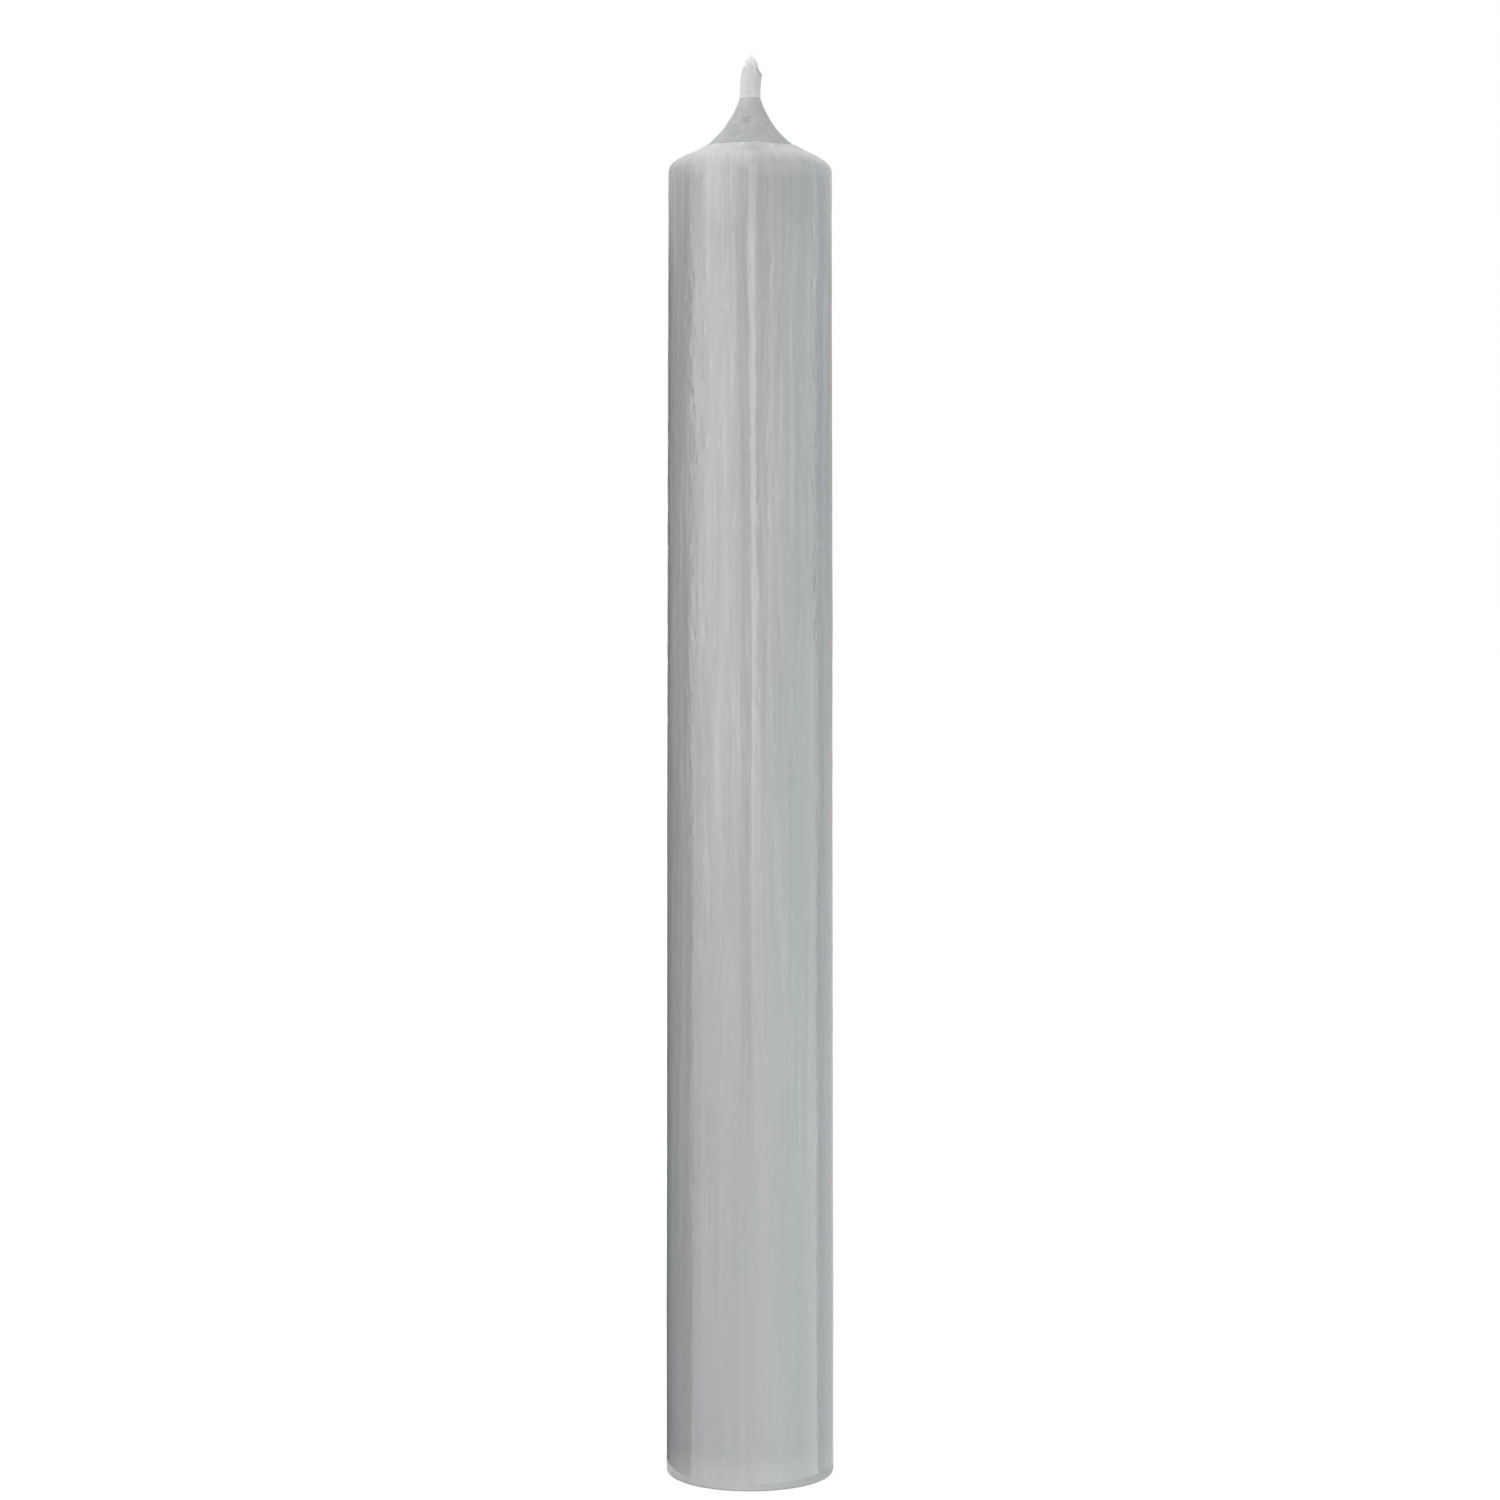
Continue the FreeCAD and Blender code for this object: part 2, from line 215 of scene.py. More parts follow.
waxColumn = {
    "footRadius": 10.95 * mm,
    "footLength": 22.0 * mm,
    "footRounding": 0.5 * mm,
    "columnHeight": 169.35 * mm,
    "topRadius": 10.52 * mm,
    "edgeRadius": 1.5 * mm,
    "edgeTurn": 45.0,
    "shoulderRadius": 4.5 * mm,
    "shoulderSlope": 22.25,
    "shoulderWidth": 3.82 * mm,
    "coatBandWidth": 0.77 * mm,
    "coatBandRise": 0.53 * mm,
    "coatThickness": 0.08 * mm,
    "headRise": 9.55 * mm,
    "headHollow": 12.0 * mm,
    "neckRadius": 1.33 * mm,
    "channelRound": 0.8 * mm,      # the wick channel's round ends
    "channelReach": 0.25 * mm,     # half the channel's straight side
    "creaseRise": 2.82 * mm,
    "bareMargin": 0.02 * mm,       # faces this far round the head's foot, and
    "bareDrop": 0.25 * mm,         # this far below it, are still bare wax
    "around": 300,
    "sideStep": 0.86 * mm,
    "steps": {
        "foot": 10, "footEdge": 5, "socket": 20, "edge": 8,
        "shoulder": 6, "coat": 14, "coatEdge": 2, "head": 68,
    },
}
neckHeight = waxColumn["columnHeight"] + waxColumn["headRise"]


def arcPoints(centre, radius, fromTurn, toTurn, steps):
    # points of a round part of the section; a turn of 0 degrees faces outwards, 90 up
    points = []
    for step in range(1, steps + 1):
        turn = math.radians(fromTurn + (toTurn - fromTurn) * step / steps)
        points.append((centre[0] + radius * math.cos(turn), centre[1] + radius * math.sin(turn)))
    return points


def straightPoints(start, end, steps):
    return [
        (start[0] + (end[0] - start[0]) * step / steps, start[1] + (end[1] - start[1]) * step / steps)
        for step in range(1, steps + 1)
    ]


def columnSection(c):
    # the column's outline from the wick channel along the foot, up the side and over the head
    steps = c["steps"]
    section = [(c["neckRadius"], 0.0)]
    rounding = c["footRounding"]
    section += straightPoints(section[-1], (c["footRadius"] - rounding, 0.0), steps["foot"])
    section += arcPoints((c["footRadius"] - rounding, rounding), rounding, -90, 0, steps["footEdge"])
    section += straightPoints(section[-1], (c["footRadius"], c["footLength"]), steps["socket"])
    sideTop = (c["topRadius"], c["columnHeight"])
    sideSteps = round((c["columnHeight"] - c["footLength"]) / c["sideStep"])
    section += straightPoints(section[-1], sideTop, sideSteps)

    lean = math.degrees(math.atan2(c["footRadius"] - c["topRadius"], c["columnHeight"] - c["footLength"]))
    edgeTo = 90 - c["edgeTurn"]
    edgeCentre = (
        sideTop[0] - c["edgeRadius"] * math.cos(math.radians(lean)),
        sideTop[1] - c["edgeRadius"] * math.sin(math.radians(lean)),
    )
    section += arcPoints(edgeCentre, c["edgeRadius"], lean, edgeTo, steps["edge"])
    outward = math.radians(edgeTo)
    shoulderCentre = (
        section[-1][0] - c["shoulderRadius"] * math.cos(outward),
        section[-1][1] - c["shoulderRadius"] * math.sin(outward),
    )
    slopeFrom = 90 - c["shoulderSlope"]
    section += arcPoints(shoulderCentre, c["shoulderRadius"], edgeTo, slopeFrom, steps["shoulder"])
    creaseRadius = c["topRadius"] - c["shoulderWidth"]
    climb = (section[-1][0] - creaseRadius) * math.tan(math.radians(c["shoulderSlope"]))
    crease = (creaseRadius, section[-1][1] + climb)
    coatEdge = (crease[0] - c["coatBandWidth"], crease[1] + c["coatBandRise"])
    # the dipped coat softens the crease: one easy curve from the slope to the coat's edge
    slopeEnd = section[-1]
    for step in range(1, steps["coat"] + 1):
        share = step / steps["coat"]
        parts = ((1 - share) ** 2, 2 * share * (1 - share), share ** 2)
        section.append(tuple(
            sum(part * point[axis] for part, point in zip(parts, (slopeEnd, crease, coatEdge)))
            for axis in (0, 1)
        ))
    headFoot = (coatEdge[0] - c["coatThickness"] / 2, coatEdge[1] - c["coatThickness"])
    section += straightPoints(coatEdge, headFoot, steps["coatEdge"])
    c["headFoot"] = headFoot

    neck = (c["neckRadius"], neckHeight)
    chord = (neck[0] - headFoot[0], neck[1] - headFoot[1])
    length = math.hypot(*chord)
    rise = math.sqrt(c["headHollow"] ** 2 - (length / 2) ** 2)
    hollowCentre = (
        (headFoot[0] + neck[0]) / 2 + chord[1] / length * rise,
        (headFoot[1] + neck[1]) / 2 - chord[0] / length * rise,
    )
    fromTurn = math.degrees(math.atan2(headFoot[1] - hollowCentre[1], headFoot[0] - hollowCentre[0]))
    toTurn = math.degrees(math.atan2(neck[1] - hollowCentre[1], neck[0] - hollowCentre[0]))
    if toTurn - fromTurn > 180:
        toTurn -= 360
    if toTurn - fromTurn < -180:
        toTurn += 360
    section += arcPoints(hollowCentre, c["headHollow"], fromTurn, toTurn, steps["head"])
    return section


def drawChannel(c, low, high):
    # the slot that the braid lies in, as a tube open at both ends
    tube = addRing("wickChannel", c["around"], c["channelRound"], c["channelReach"], low)
    bpy.ops.mesh.extrude_region_move(TRANSFORM_OT_translate={"value": (0, 0, high - low)})
    bpy.ops.object.mode_set(mode="OBJECT")
    return tube


def makeWaxColumn(c):
    section = columnSection(c)
    deselectAll()
    bpy.ops.mesh.primitive_plane_add(size=1 * mm, location=(0, 0, 0))
    column = nameIt("waxColumn")
    editAll(column)
    bpy.ops.mesh.merge(type="CENTER")
    bpy.ops.transform.translate(value=(section[0][0], 0, section[0][1]))
    for before, after in zip(section, section[1:]):
        move = (after[0] - before[0], 0, after[1] - before[1])
        bpy.ops.mesh.extrude_vertices_move(TRANSFORM_OT_translate={"value": move})
    bpy.ops.mesh.select_all(action="SELECT")
    bpy.ops.mesh.spin(
        steps=c["around"], angle=fullTurn, center=(0, 0, 0), axis=(0, 0, 1), use_auto_merge=True
    )
    bpy.ops.mesh.select_all(action="SELECT")
    bpy.ops.mesh.remove_doubles(threshold=samePoint)
    bpy.ops.object.mode_set(mode="OBJECT")

    channel = drawChannel(c, 0.0, neckHeight)
    column = joinPieces(column, [channel])
    bpy.ops.object.mode_set(mode="EDIT")
    reach = c["neckRadius"] + 0.002 * mm
    for height in (0.0, neckHeight):
        selectVerts(lambda place: abs(place.z - height) < offAxis and math.hypot(place.x, place.y) < reach)
        bpy.ops.mesh.bridge_edge_loops()
    bpy.ops.object.mode_set(mode="OBJECT")
    closeAndFaceOut(column)
    return column


column = makeWaxColumn(waxColumn)
print("column turned:", len(column.data.vertices), "vertices")

# small runs and lumps of wax: degrees to the right of the front, height, half width, half length, swell
waxLumps = (
    (41.0, 145.6 * mm, 0.30 * mm, 1.10 * mm, 0.050 * mm),
    (47.5, 143.4 * mm, 0.40 * mm, 0.70 * mm, 0.060 * mm),
    (51.0, 146.4 * mm, 0.22 * mm, 1.60 * mm, 0.040 * mm),
    (38.0, 141.6 * mm, 0.25 * mm, 0.80 * mm, -0.035 * mm),
    (-43.3, 150.2 * mm, 0.28 * mm, 0.45 * mm, 0.055 * mm),
    (36.0, 96.5 * mm, 0.35 * mm, 1.50 * mm, 0.040 * mm),
    (-31.0, 73.0 * mm, 0.25 * mm, 2.20 * mm, 0.030 * mm),
    (118.0, 131.0 * mm, 0.40 * mm, 1.80 * mm, 0.050 * mm),
    (163.0, 88.0 * mm, 0.30 * mm, 1.10 * mm, 0.045 * mm),
    (-124.0, 112.0 * mm, 0.35 * mm, 1.40 * mm, 0.045 * mm),
    (-151.0, 155.0 * mm, 0.45 * mm, 0.90 * mm, 0.055 * mm),
    (88.0, 60.0 * mm, 0.28 * mm, 1.20 * mm, 0.035 * mm),
)
# a nick in the bare head: three short cuts, each from one (x, height) to another
headNick = {
    "cuts": (
        ((-0.95 * mm, 176.25 * mm), (-0.45 * mm, 176.00 * mm)),
        ((0.02 * mm, 176.22 * mm), (-0.45 * mm, 176.00 * mm)),
        ((-0.45 * mm, 176.00 * mm), (-0.47 * mm, 175.68 * mm)),
    ),
    "halfWidth": 0.14 * mm,
    "depth": 0.16 * mm,
}
columnRelief = {
    "drawLines": ((1.2 * mm, 1.2 * mm, 60 * mm), 0.055 * mm),
    "draggedWaves": ((3.6 * mm, 3.6 * mm, 60 * mm), 0.12 * mm),
    "squiggles": ((1.0 * mm, 1.0 * mm, 2.6 * mm), 0.07 * mm),
    "headWaves": ((2.3 * mm, 2.3 * mm, 1.9 * mm), 0.18 * mm),
    "coatLumps": ((0.95 * mm, 0.95 * mm, 0.95 * mm), 0.19 * mm),
}


def dressColumn(piece, c, relief):
    low = c["footRounding"]
    shoulderStart = c["columnHeight"] - 1.0 * mm
    creaseRadius = c["topRadius"] - c["shoulderWidth"]
    coatRadius = creaseRadius - c["coatBandWidth"]
    creaseHeight = c["columnHeight"] + c["creaseRise"]
    inChannel = c["neckRadius"] + 0.01 * mm

    def onSide(place):
        # quieter towards the foot, none at the foot's face or on the head
        radius = math.hypot(place.x, place.y)
        if radius < inChannel or place.z < low * 0.5:
            return 0.0
        quiet = 0.42 + 0.58 * easeStep(25 * mm, 110 * mm, place.z)
        overHead = 1 - easeStep(creaseHeight - 1.0 * mm, creaseHeight, place.z)
        return quiet * overHead * easeStep(0, 2 * mm, place.z)

    def onHead(place):
        radius = math.hypot(place.x, place.y)
        if radius < inChannel or place.z < shoulderStart:
            return 0.0
        slim = easeStep(c["neckRadius"], 3.0 * mm, radius)
        return slim * easeStep(shoulderStart, creaseHeight, place.z)

    def onCoatEdge(place):
        radius = math.hypot(place.x, place.y)
        if place.z < creaseHeight - 1.2 * mm:
            return 0.0
        outer = 1 - easeStep(creaseRadius - 0.1 * mm, creaseRadius + 0.9 * mm, radius)
        inner = easeStep(coatRadius - 0.06 * mm, coatRadius + 0.02 * mm, radius)
        return outer * inner

    def onRagged(place):
        # short ripples: fewest along the front's middle line
        front = abs(math.degrees(math.atan2(place.x, -place.y)))
        return onSide(place) * (0.3 + 0.7 * easeStep(8, 34, front))

    weightGroup(piece, "side", onSide)
    weightGroup(piece, "ragged", onRagged)
    weightGroup(piece, "head", onHead)
    weightGroup(piece, "coatEdge", onCoatEdge)
    groups = {
        "drawLines": "side",
        "draggedWaves": "ragged",
        "squiggles": "ragged",
        "headWaves": "head",
        "coatLumps": "coatEdge",
    }
    for number, (name, (grain, height)) in enumerate(relief.items()):
        shift = (0.0137 * (number + 1), 0.0091 * (number + 2), 0.0053 * (number + 1))
        roughen(piece, name, grain, height, groups[name], shift=shift)
    piece.vertex_groups.clear()


def swellBy(piece, name, height, weightAt):
    # raises the surface, or sinks it where height is negative, by the weight at each vertex
    weightGroup(piece, name, weightAt)
    swell = addSwell(piece, height, 0.0, name)
    bpy.ops.object.modifier_apply(modifier=swell.name)
    piece.vertex_groups.clear()


def addWaxLumps(piece, lumps, c):
    tallest = max(abs(lump[4]) for lump in lumps)
    for side, name in ((1, "raisedLumps"), (-1, "sunkLumps")):
        chosen = [lump for lump in lumps if lump[4] * side > 0]

        def onLump(place):
            weight = 0.0
            if math.hypot(place.x, place.y) < c["neckRadius"] * 2:
                return weight
            turn = math.degrees(math.atan2(place.x, -place.y))
            for centre, height, halfWidth, halfLength, swell in chosen:
                across = math.radians((turn - centre + 180) % 360 - 180) * c["topRadius"] / halfWidth
                along = (place.z - height) / halfLength
                if abs(across) < 2.5 and abs(along) < 2.5:
                    weight += abs(swell) / tallest * math.exp(-across * across - along * along)
            return min(weight, 1.0)

        swellBy(piece, name, tallest * side, onLump)


def cutNick(piece, nick):
    def inNick(place):
        nearest = 1.0
        if place.y > 0 or place.z < 175 * mm:
            return 0.0
        for start, end in nick["cuts"]:
            run = (end[0] - start[0], end[1] - start[1])
            along = (place.x - start[0]) * run[0] + (place.z - start[1]) * run[1]
            along = min(max(along / (run[0] ** 2 + run[1] ** 2), 0), 1)
            gap = math.hypot(place.x - start[0] - run[0] * along, place.z - start[1] - run[1] * along)
            nearest = min(nearest, gap / nick["halfWidth"])
        return 1 - easeStep(0.2, 1.0, nearest)

    swellBy(piece, "nick", -nick["depth"], inNick)


dressColumn(column, waxColumn, columnRelief)
addWaxLumps(column, waxLumps, waxColumn)
cutNick(column, headNick)
smoothShade(column, 50)
print("column dressed")


# Primer wax round the exposed wick

wickSleeve = {
    "outerRound": 1.08 * mm,
    "reach": 0.25 * mm,
    "wall": 0.28 * mm,
    "length": 3.85 * mm,
    "bendRadius": 20.0 * mm,
    "snipWidth": 0.75 * mm,
    "snipHeight": 0.7 * mm,
    "cornerWidth": 0.24 * mm,
    "cornerHeight": 0.34 * mm,
    "around": 96,
    "rings": 40,
    "closest": 0.025 * mm,         # points nearer than this are merged after the cuts
}
leanAngle = wickSleeve["length"] / wickSleeve["bendRadius"]


def wickTopFrame(c):
    # middle of the leaning wick's top, its direction along the wick and the one across it
    middle = Vector((
        c["bendRadius"] * (1 - math.cos(leanAngle)), 0,
        neckHeight + c["bendRadius"] * math.sin(leanAngle),
    ))
    along = Vector((math.sin(leanAngle), 0, math.cos(leanAngle)))
    across = Vector((math.cos(leanAngle), 0, -math.sin(leanAngle)))
    return middle, along, across


def snipPlane(c, width, height, side):
    # a point and the outward direction of the cut at the top's right corner, 1, or left corner, -1
    middle, along, across = wickTopFrame(c)
    half = c["outerRound"] + c["reach"]
    upper = middle + across * side * (half - width)
    lower = middle + across * side * half - along * height
    cut = lower - upper
    outward = Vector((-cut.z, 0, cut.x)).normalized()
    if outward.x * side < 0:
        outward.negate()
    return upper, outward


def snipCorner(c, width, height, side):
    # cuts that corner off the piece being edited, and leaves the cut open
    upper, outward = snipPlane(c, width, height, side)
    bpy.ops.mesh.select_all(action="SELECT")
    bpy.ops.mesh.bisect(plane_co=upper, plane_no=outward, clear_outer=True, threshold=finePoint)


def makeWickSleeve(c):
    sleeve = addRing("wickSleeve", c["around"], c["outerRound"], c["reach"], neckHeight)
    pivot = (c["bendRadius"], 0, neckHeight)
    for _ in range(c["rings"]):
        bpy.ops.mesh.extrude_region_move(TRANSFORM_OT_translate={"value": (0, 0, 0)})
        bpy.ops.transform.rotate(value=-leanAngle / c["rings"], orient_axis="Y", center_override=pivot)
    snipCorner(c, c["snipWidth"], c["snipHeight"], 1)
    snipCorner(c, c["cornerWidth"], c["cornerHeight"], -1)
    putInOrder(sleeve)
    bpy.ops.mesh.select_all(action="SELECT")
    bpy.ops.mesh.remove_doubles(threshold=c["closest"])
    bpy.ops.mesh.normals_make_consistent(inside=False)
    bpy.ops.object.mode_set(mode="OBJECT")
    bpy.ops.object.modifier_add(type="SOLIDIFY")
    wall = sleeve.modifiers[-1]
    wall.thickness = c["wall"]
    wall.offset = -1
    bpy.ops.object.modifier_apply(modifier=wall.name)
    closeAndFaceOut(sleeve)
    return sleeve


def roundSleeveTop(piece, c, width):
    # softens the cut edges at the sleeve's top, where the wax closes round the cotton
    middle, along, across = wickTopFrame(c)
    level = middle - along * (c["snipHeight"] + 0.05 * mm)
    pick(piece)
    bpy.ops.object.mode_set(mode="EDIT")
    bpy.ops.mesh.select_all(action="DESELECT")
    bpy.ops.mesh.select_mode(type="EDGE")
    mesh = bmesh.from_edit_mesh(piece.data)
    for edge in mesh.edges:
        high = all((vert.co - level).dot(along) > 0 for vert in edge.verts)
        if high and len(edge.link_faces) == 2 and edge.calc_face_angle(0) > math.radians(35):
            edge.select = True
    bmesh.update_edit_mesh(piece.data)
    bpy.ops.mesh.bevel(offset=width, segments=3, profile=0.5, clamp_overlap=True)
    bpy.ops.object.mode_set(mode="OBJECT")
    closeAndFaceOut(piece)


sleeve = makeWickSleeve(wickSleeve)
print("sleeve drawn")


# Braided wick with its frayed end

def addPaths(name):
    # an empty curve for strands or fibres
    deselectAll()
    bpy.ops.curve.primitive_nurbs_path_add()
    paths = bpy.context.object
    paths.name = name
    paths.data.splines.clear()
    paths.data.dimensions = "3D"
    return paths


def meshFrom(paths):
    pick(paths)
    bpy.ops.object.convert(target="MESH")
    return bpy.context.object


braidedWick = {
    "strandRadius": 0.37 * mm,
    "sideSwing": 0.66 * mm,
    "depthSwing": 0.42 * mm,
    "pitch": 5.2 * mm,
    "pointsPerPitch": 14,
    "lobes": 5,
    "lobeDepth": 0.05 * mm,
}


def leanPoint(x, y, z):
    # where a point of the straight wick goes when its exposed part leans over
    if z <= neckHeight:
        return (x, y, z)
    bend = wickSleeve["bendRadius"]
    turn = (z - neckHeight) / bend
    return (bend - (bend - x) * math.cos(turn), y, neckHeight + (bend - x) * math.sin(turn))


def makeBraid(c):
    # one strand's lobed outline, then three strands over and under each other
    deselectAll()
    bpy.ops.curve.primitive_bezier_circle_add()
    outline = bpy.context.object
    outline.name = "strandOutline"
    outline.data.splines.clear()
    ring = outline.data.splines.new("POLY")
    count = c["lobes"] * 4
    ring.points.add(count - 1)
    for number, point in enumerate(ring.points):
        turn = fullTurn * number / count
        radius = c["strandRadius"] - c["lobeDepth"] * (0.5 - 0.5 * math.cos(c["lobes"] * turn))
        point.co = (radius * math.cos(turn), radius * math.sin(turn), 0, 1)
    ring.use_cyclic_u = True

    braid = addPaths("braidedWick")
    line = braid.data
    line.twist_mode = "Z_UP"
    top = neckHeight + wickSleeve["length"]
    low = -c["pitch"] / 4
    steps = round((top - low) / c["pitch"] * c["pointsPerPitch"])
    for strand in range(3):
        run = line.splines.new("POLY")
        run.points.add(steps)
        for number, point in enumerate(run.points):
            z = low + (top - low) * number / steps
            turn = fullTurn * (z / c["pitch"] + strand / 3)
            x = c["sideSwing"] * math.sin(turn)
            y = c["depthSwing"] * math.sin(2 * turn)
            point.co = (*leanPoint(x, y, z), 1)
            point.tilt = 2.2 * turn
    line.bevel_mode = "OBJECT"
    line.bevel_object = outline
    line.use_fill_caps = True
    braid = meshFrom(braid)
    bpy.data.objects.remove(outline)
    editAll(braid)
    bpy.ops.mesh.remove_doubles(threshold=finePoint)
    bpy.ops.mesh.bisect(
        plane_co=(0, 0, 0), plane_no=(0, 0, 1), clear_inner=True, use_fill=True, threshold=finePoint
    )
    snipCorner(wickSleeve, wickSleeve["snipWidth"], wickSleeve["snipHeight"], 1)
    putInOrder(braid)
    bpy.ops.mesh.select_all(action="SELECT")
    bpy.ops.mesh.fill_holes(sides=0)
    bpy.ops.object.mode_set(mode="OBJECT")
    closeAndFaceOut(braid, merge=finePoint)
    return braid


braid = makeBraid(braidedWick)

frayedEnd = {
    "coreHalfWide": 0.90 * mm,
    "coreHalfDeep": 0.66 * mm,
    "coreTip": 0.36 * mm,
    "coreHeight": 1.28 * mm,
    "coreSunk": 0.45 * mm,
    "coreFolds": ((0.26 * mm, 0.26 * mm, 0.9 * mm), 0.06 * mm),
    # of the core's half width: where fibres start and end; of the tuft's height: how high they reach
    "fibres": {"count": 125, "roots": (0.45, 1.0), "heights": (0.35, 0.88), "curl": 0.06 * mm},
    "closing": 0.55,
    "spill": (-0.02, 0.12),
    "wisps": {"count": 44, "root": 0.45, "tips": (0.05, 0.38), "heights": (0.75, 1.0), "curl": 0.05 * mm},
    "strays": {"count": 46, "root": 0.95, "tips": (0.75, 1.2), "heights": (0.25, 0.6), "curl": 0.14 * mm},
    "fibreRadius": 0.010 * mm,
    "leftOffset": 0.15 * mm,       # the tuft stands away from the cut
    "leftLean": 0.22,
    "height": 1.80 * mm,
    "rootDepth": 0.30 * mm,
    "seed": 41,
}


def tuftPoint(c, x, y, rise):
    # where a point of the upright tuft stands on the leaning wick
    middle, along, across = wickTopFrame(wickSleeve)
    x -= c["leftLean"] * max(rise, 0) + c["leftOffset"]
    return middle + across * x + Vector((0, y, 0)) + along * rise


def makeTuftCore(c):
    # the dense cotton under the loose fibres
    deselectAll()
    depth = c["coreHeight"] + c["coreSunk"]
    bpy.ops.mesh.primitive_cone_add(
        vertices=20, radius1=c["coreHalfWide"], radius2=c["coreTip"], depth=depth,
        location=(0, 0, depth / 2 - c["coreSunk"]),
    )
    core = nameIt("tuftCore")
    core.scale.y = c["coreHalfDeep"] / c["coreHalfWide"]
    editAll(applyPlace(core))
    bpy.ops.mesh.inset(thickness=0.05 * mm, use_individual=False)
    selectVerts(lambda place: place.z > c["coreHeight"] - 0.01 * mm or place.z < 0.01 * mm - c["coreSunk"])
    bpy.ops.mesh.poke()
    bpy.ops.mesh.select_all(action="SELECT")
    bpy.ops.mesh.subdivide(number_cuts=2, smoothness=0.6)
    bpy.ops.object.mode_set(mode="OBJECT")
    bpy.ops.object.modifier_add(type="SUBSURF")
    rounding = core.modifiers[-1]
    rounding.levels = 2
    rounding.render_levels = 2
    bpy.ops.object.modifier_apply(modifier=rounding.name)
    weightGroup(core, "all", lambda place: easeStep(-c["coreSunk"], 0, place.z))
    grain, height = c["coreFolds"]
    roughen(core, "coreFolds", grain, height, "all", shift=(0.0021, 0.0043, 0.0012))
    core.vertex_groups.clear()
    for vert in core.data.vertices:
        vert.co = tuftPoint(c, *vert.co)
    closeAndFaceOut(core)
    return core


def makeFrayedEnd(c):
    # loose cotton fibres that follow the core and draw together to an uneven tip
    draw = random.Random(c["seed"])
    tuft = addPaths("frayedEnd")
    line = tuft.data

    def addFibre(turn, rootReach, tipReach, height, curl):
        fibre = line.splines.new("POLY")
        fibre.points.add(4)
        sway = [draw.gauss(0, 1) * curl for _ in range(4)]
        drift = draw.gauss(0, 0.25)
        for number, point in enumerate(fibre.points):
            share = number / 4
            rise = -c["rootDepth"] + (height + c["rootDepth"]) * share
            reach = rootReach + (tipReach - rootReach) * share ** 1.5
            bow = math.sin(math.pi * share)
            x = c["coreHalfWide"] * reach * math.cos(turn + drift * share) + sway[0] * bow + sway[1] * share
            y = c["coreHalfDeep"] * reach * math.sin(turn + drift * share) + sway[2] * bow + sway[3] * share
            point.co = (*tuftPoint(c, x, y, rise), 1)
            point.radius = 1.1 - 0.75 * share

    fibres = c["fibres"]
    for _ in range(fibres["count"]):
        turn = draw.uniform(0, fullTurn)
        reach = math.sqrt(draw.uniform(*fibres["roots"]))
        height = c["height"] * draw.uniform(*fibres["heights"])
        tip = reach * (1 - c["closing"] * height / c["height"]) + draw.uniform(*c["spill"])
        addFibre(turn, reach, tip, height, fibres["curl"])
    for loose in (c["wisps"], c["strays"]):
        for _ in range(loose["count"]):
            turn = draw.uniform(0, fullTurn)
            tip = draw.uniform(*loose["tips"])
            height = c["height"] * draw.uniform(*loose["heights"])
            addFibre(turn, loose["root"], tip, height, loose["curl"])
    line.bevel_mode = "ROUND"
    line.bevel_depth = c["fibreRadius"]
    line.bevel_resolution = 0
    line.use_fill_caps = True
    return meshFrom(tuft)


tuftCore = makeTuftCore(frayedEnd)
tuft = makeFrayedEnd(frayedEnd)
joinPieces(braid, [tuftCore, tuft])
wick = nameIt("braidedWick")
smoothShade(wick, 60)
print("wick braided:", len(wick.data.polygons), "faces")

sleeveRelief = {
    "beadHeight": 0.26 * mm,
    "beadSwell": 0.05 * mm,
    "topRounding": 0.06 * mm,
    "ribs": ((0.55 * mm, 0.55 * mm, 3.2 * mm), 0.10 * mm),
    "drips": ((0.9 * mm, 0.9 * mm, 0.8 * mm), 0.07 * mm),
}


def unleanPoint(place):
    # where a point of the leaning wick stood before it leaned
    bend = wickSleeve["bendRadius"]
    turn = math.atan2(place.z - neckHeight, bend - place.x)
    return bend - math.hypot(place.z - neckHeight, bend - place.x), place.y, neckHeight + turn * bend


def dressSleeve(piece, c, relief):
    def onOuter(place):
        x, y, z = unleanPoint(place)
        radius = math.hypot(max(abs(x) - c["reach"], 0), y)
        return easeStep(c["outerRound"] - c["wall"] * 0.7, c["outerRound"] - c["wall"] * 0.2, radius)

    def onBead(place):
        rise = unleanPoint(place)[2] - neckHeight
        swell = math.cos(math.pi / 2 * min(abs(rise - relief["beadHeight"] * 0.3) / relief["beadHeight"], 1))
        return onOuter(place) * swell

    swellBy(piece, "bead", relief["beadSwell"], onBead)
    weightGroup(piece, "outer", onOuter)
    for number, name in enumerate(("ribs", "drips")):
        grain, height = relief[name]
        roughen(piece, name, grain, height, "outer", shift=(0.003 * (number + 1), 0.002, 0.001))
    piece.vertex_groups.clear()


roundSleeveTop(sleeve, wickSleeve, sleeveRelief["topRounding"])
dressSleeve(sleeve, wickSleeve, sleeveRelief)
smoothShade(sleeve, 45)
print("sleeve dressed")


# Finishes

def feed(tree, socket, value):
    # links the value to the socket where it comes from a node, or else sets it
    if isinstance(value, bpy.types.NodeSocket):
        tree.links.new(value, socket)
    else:
        socket.default_value = value


def addNode(tree, kind, inputs=None, **settings):
    node = tree.nodes.new(kind)
    for key, value in settings.items():
        setattr(node, key, value)
    for key, value in (inputs or {}).items():
        feed(tree, node.inputs[key], value)
    return node


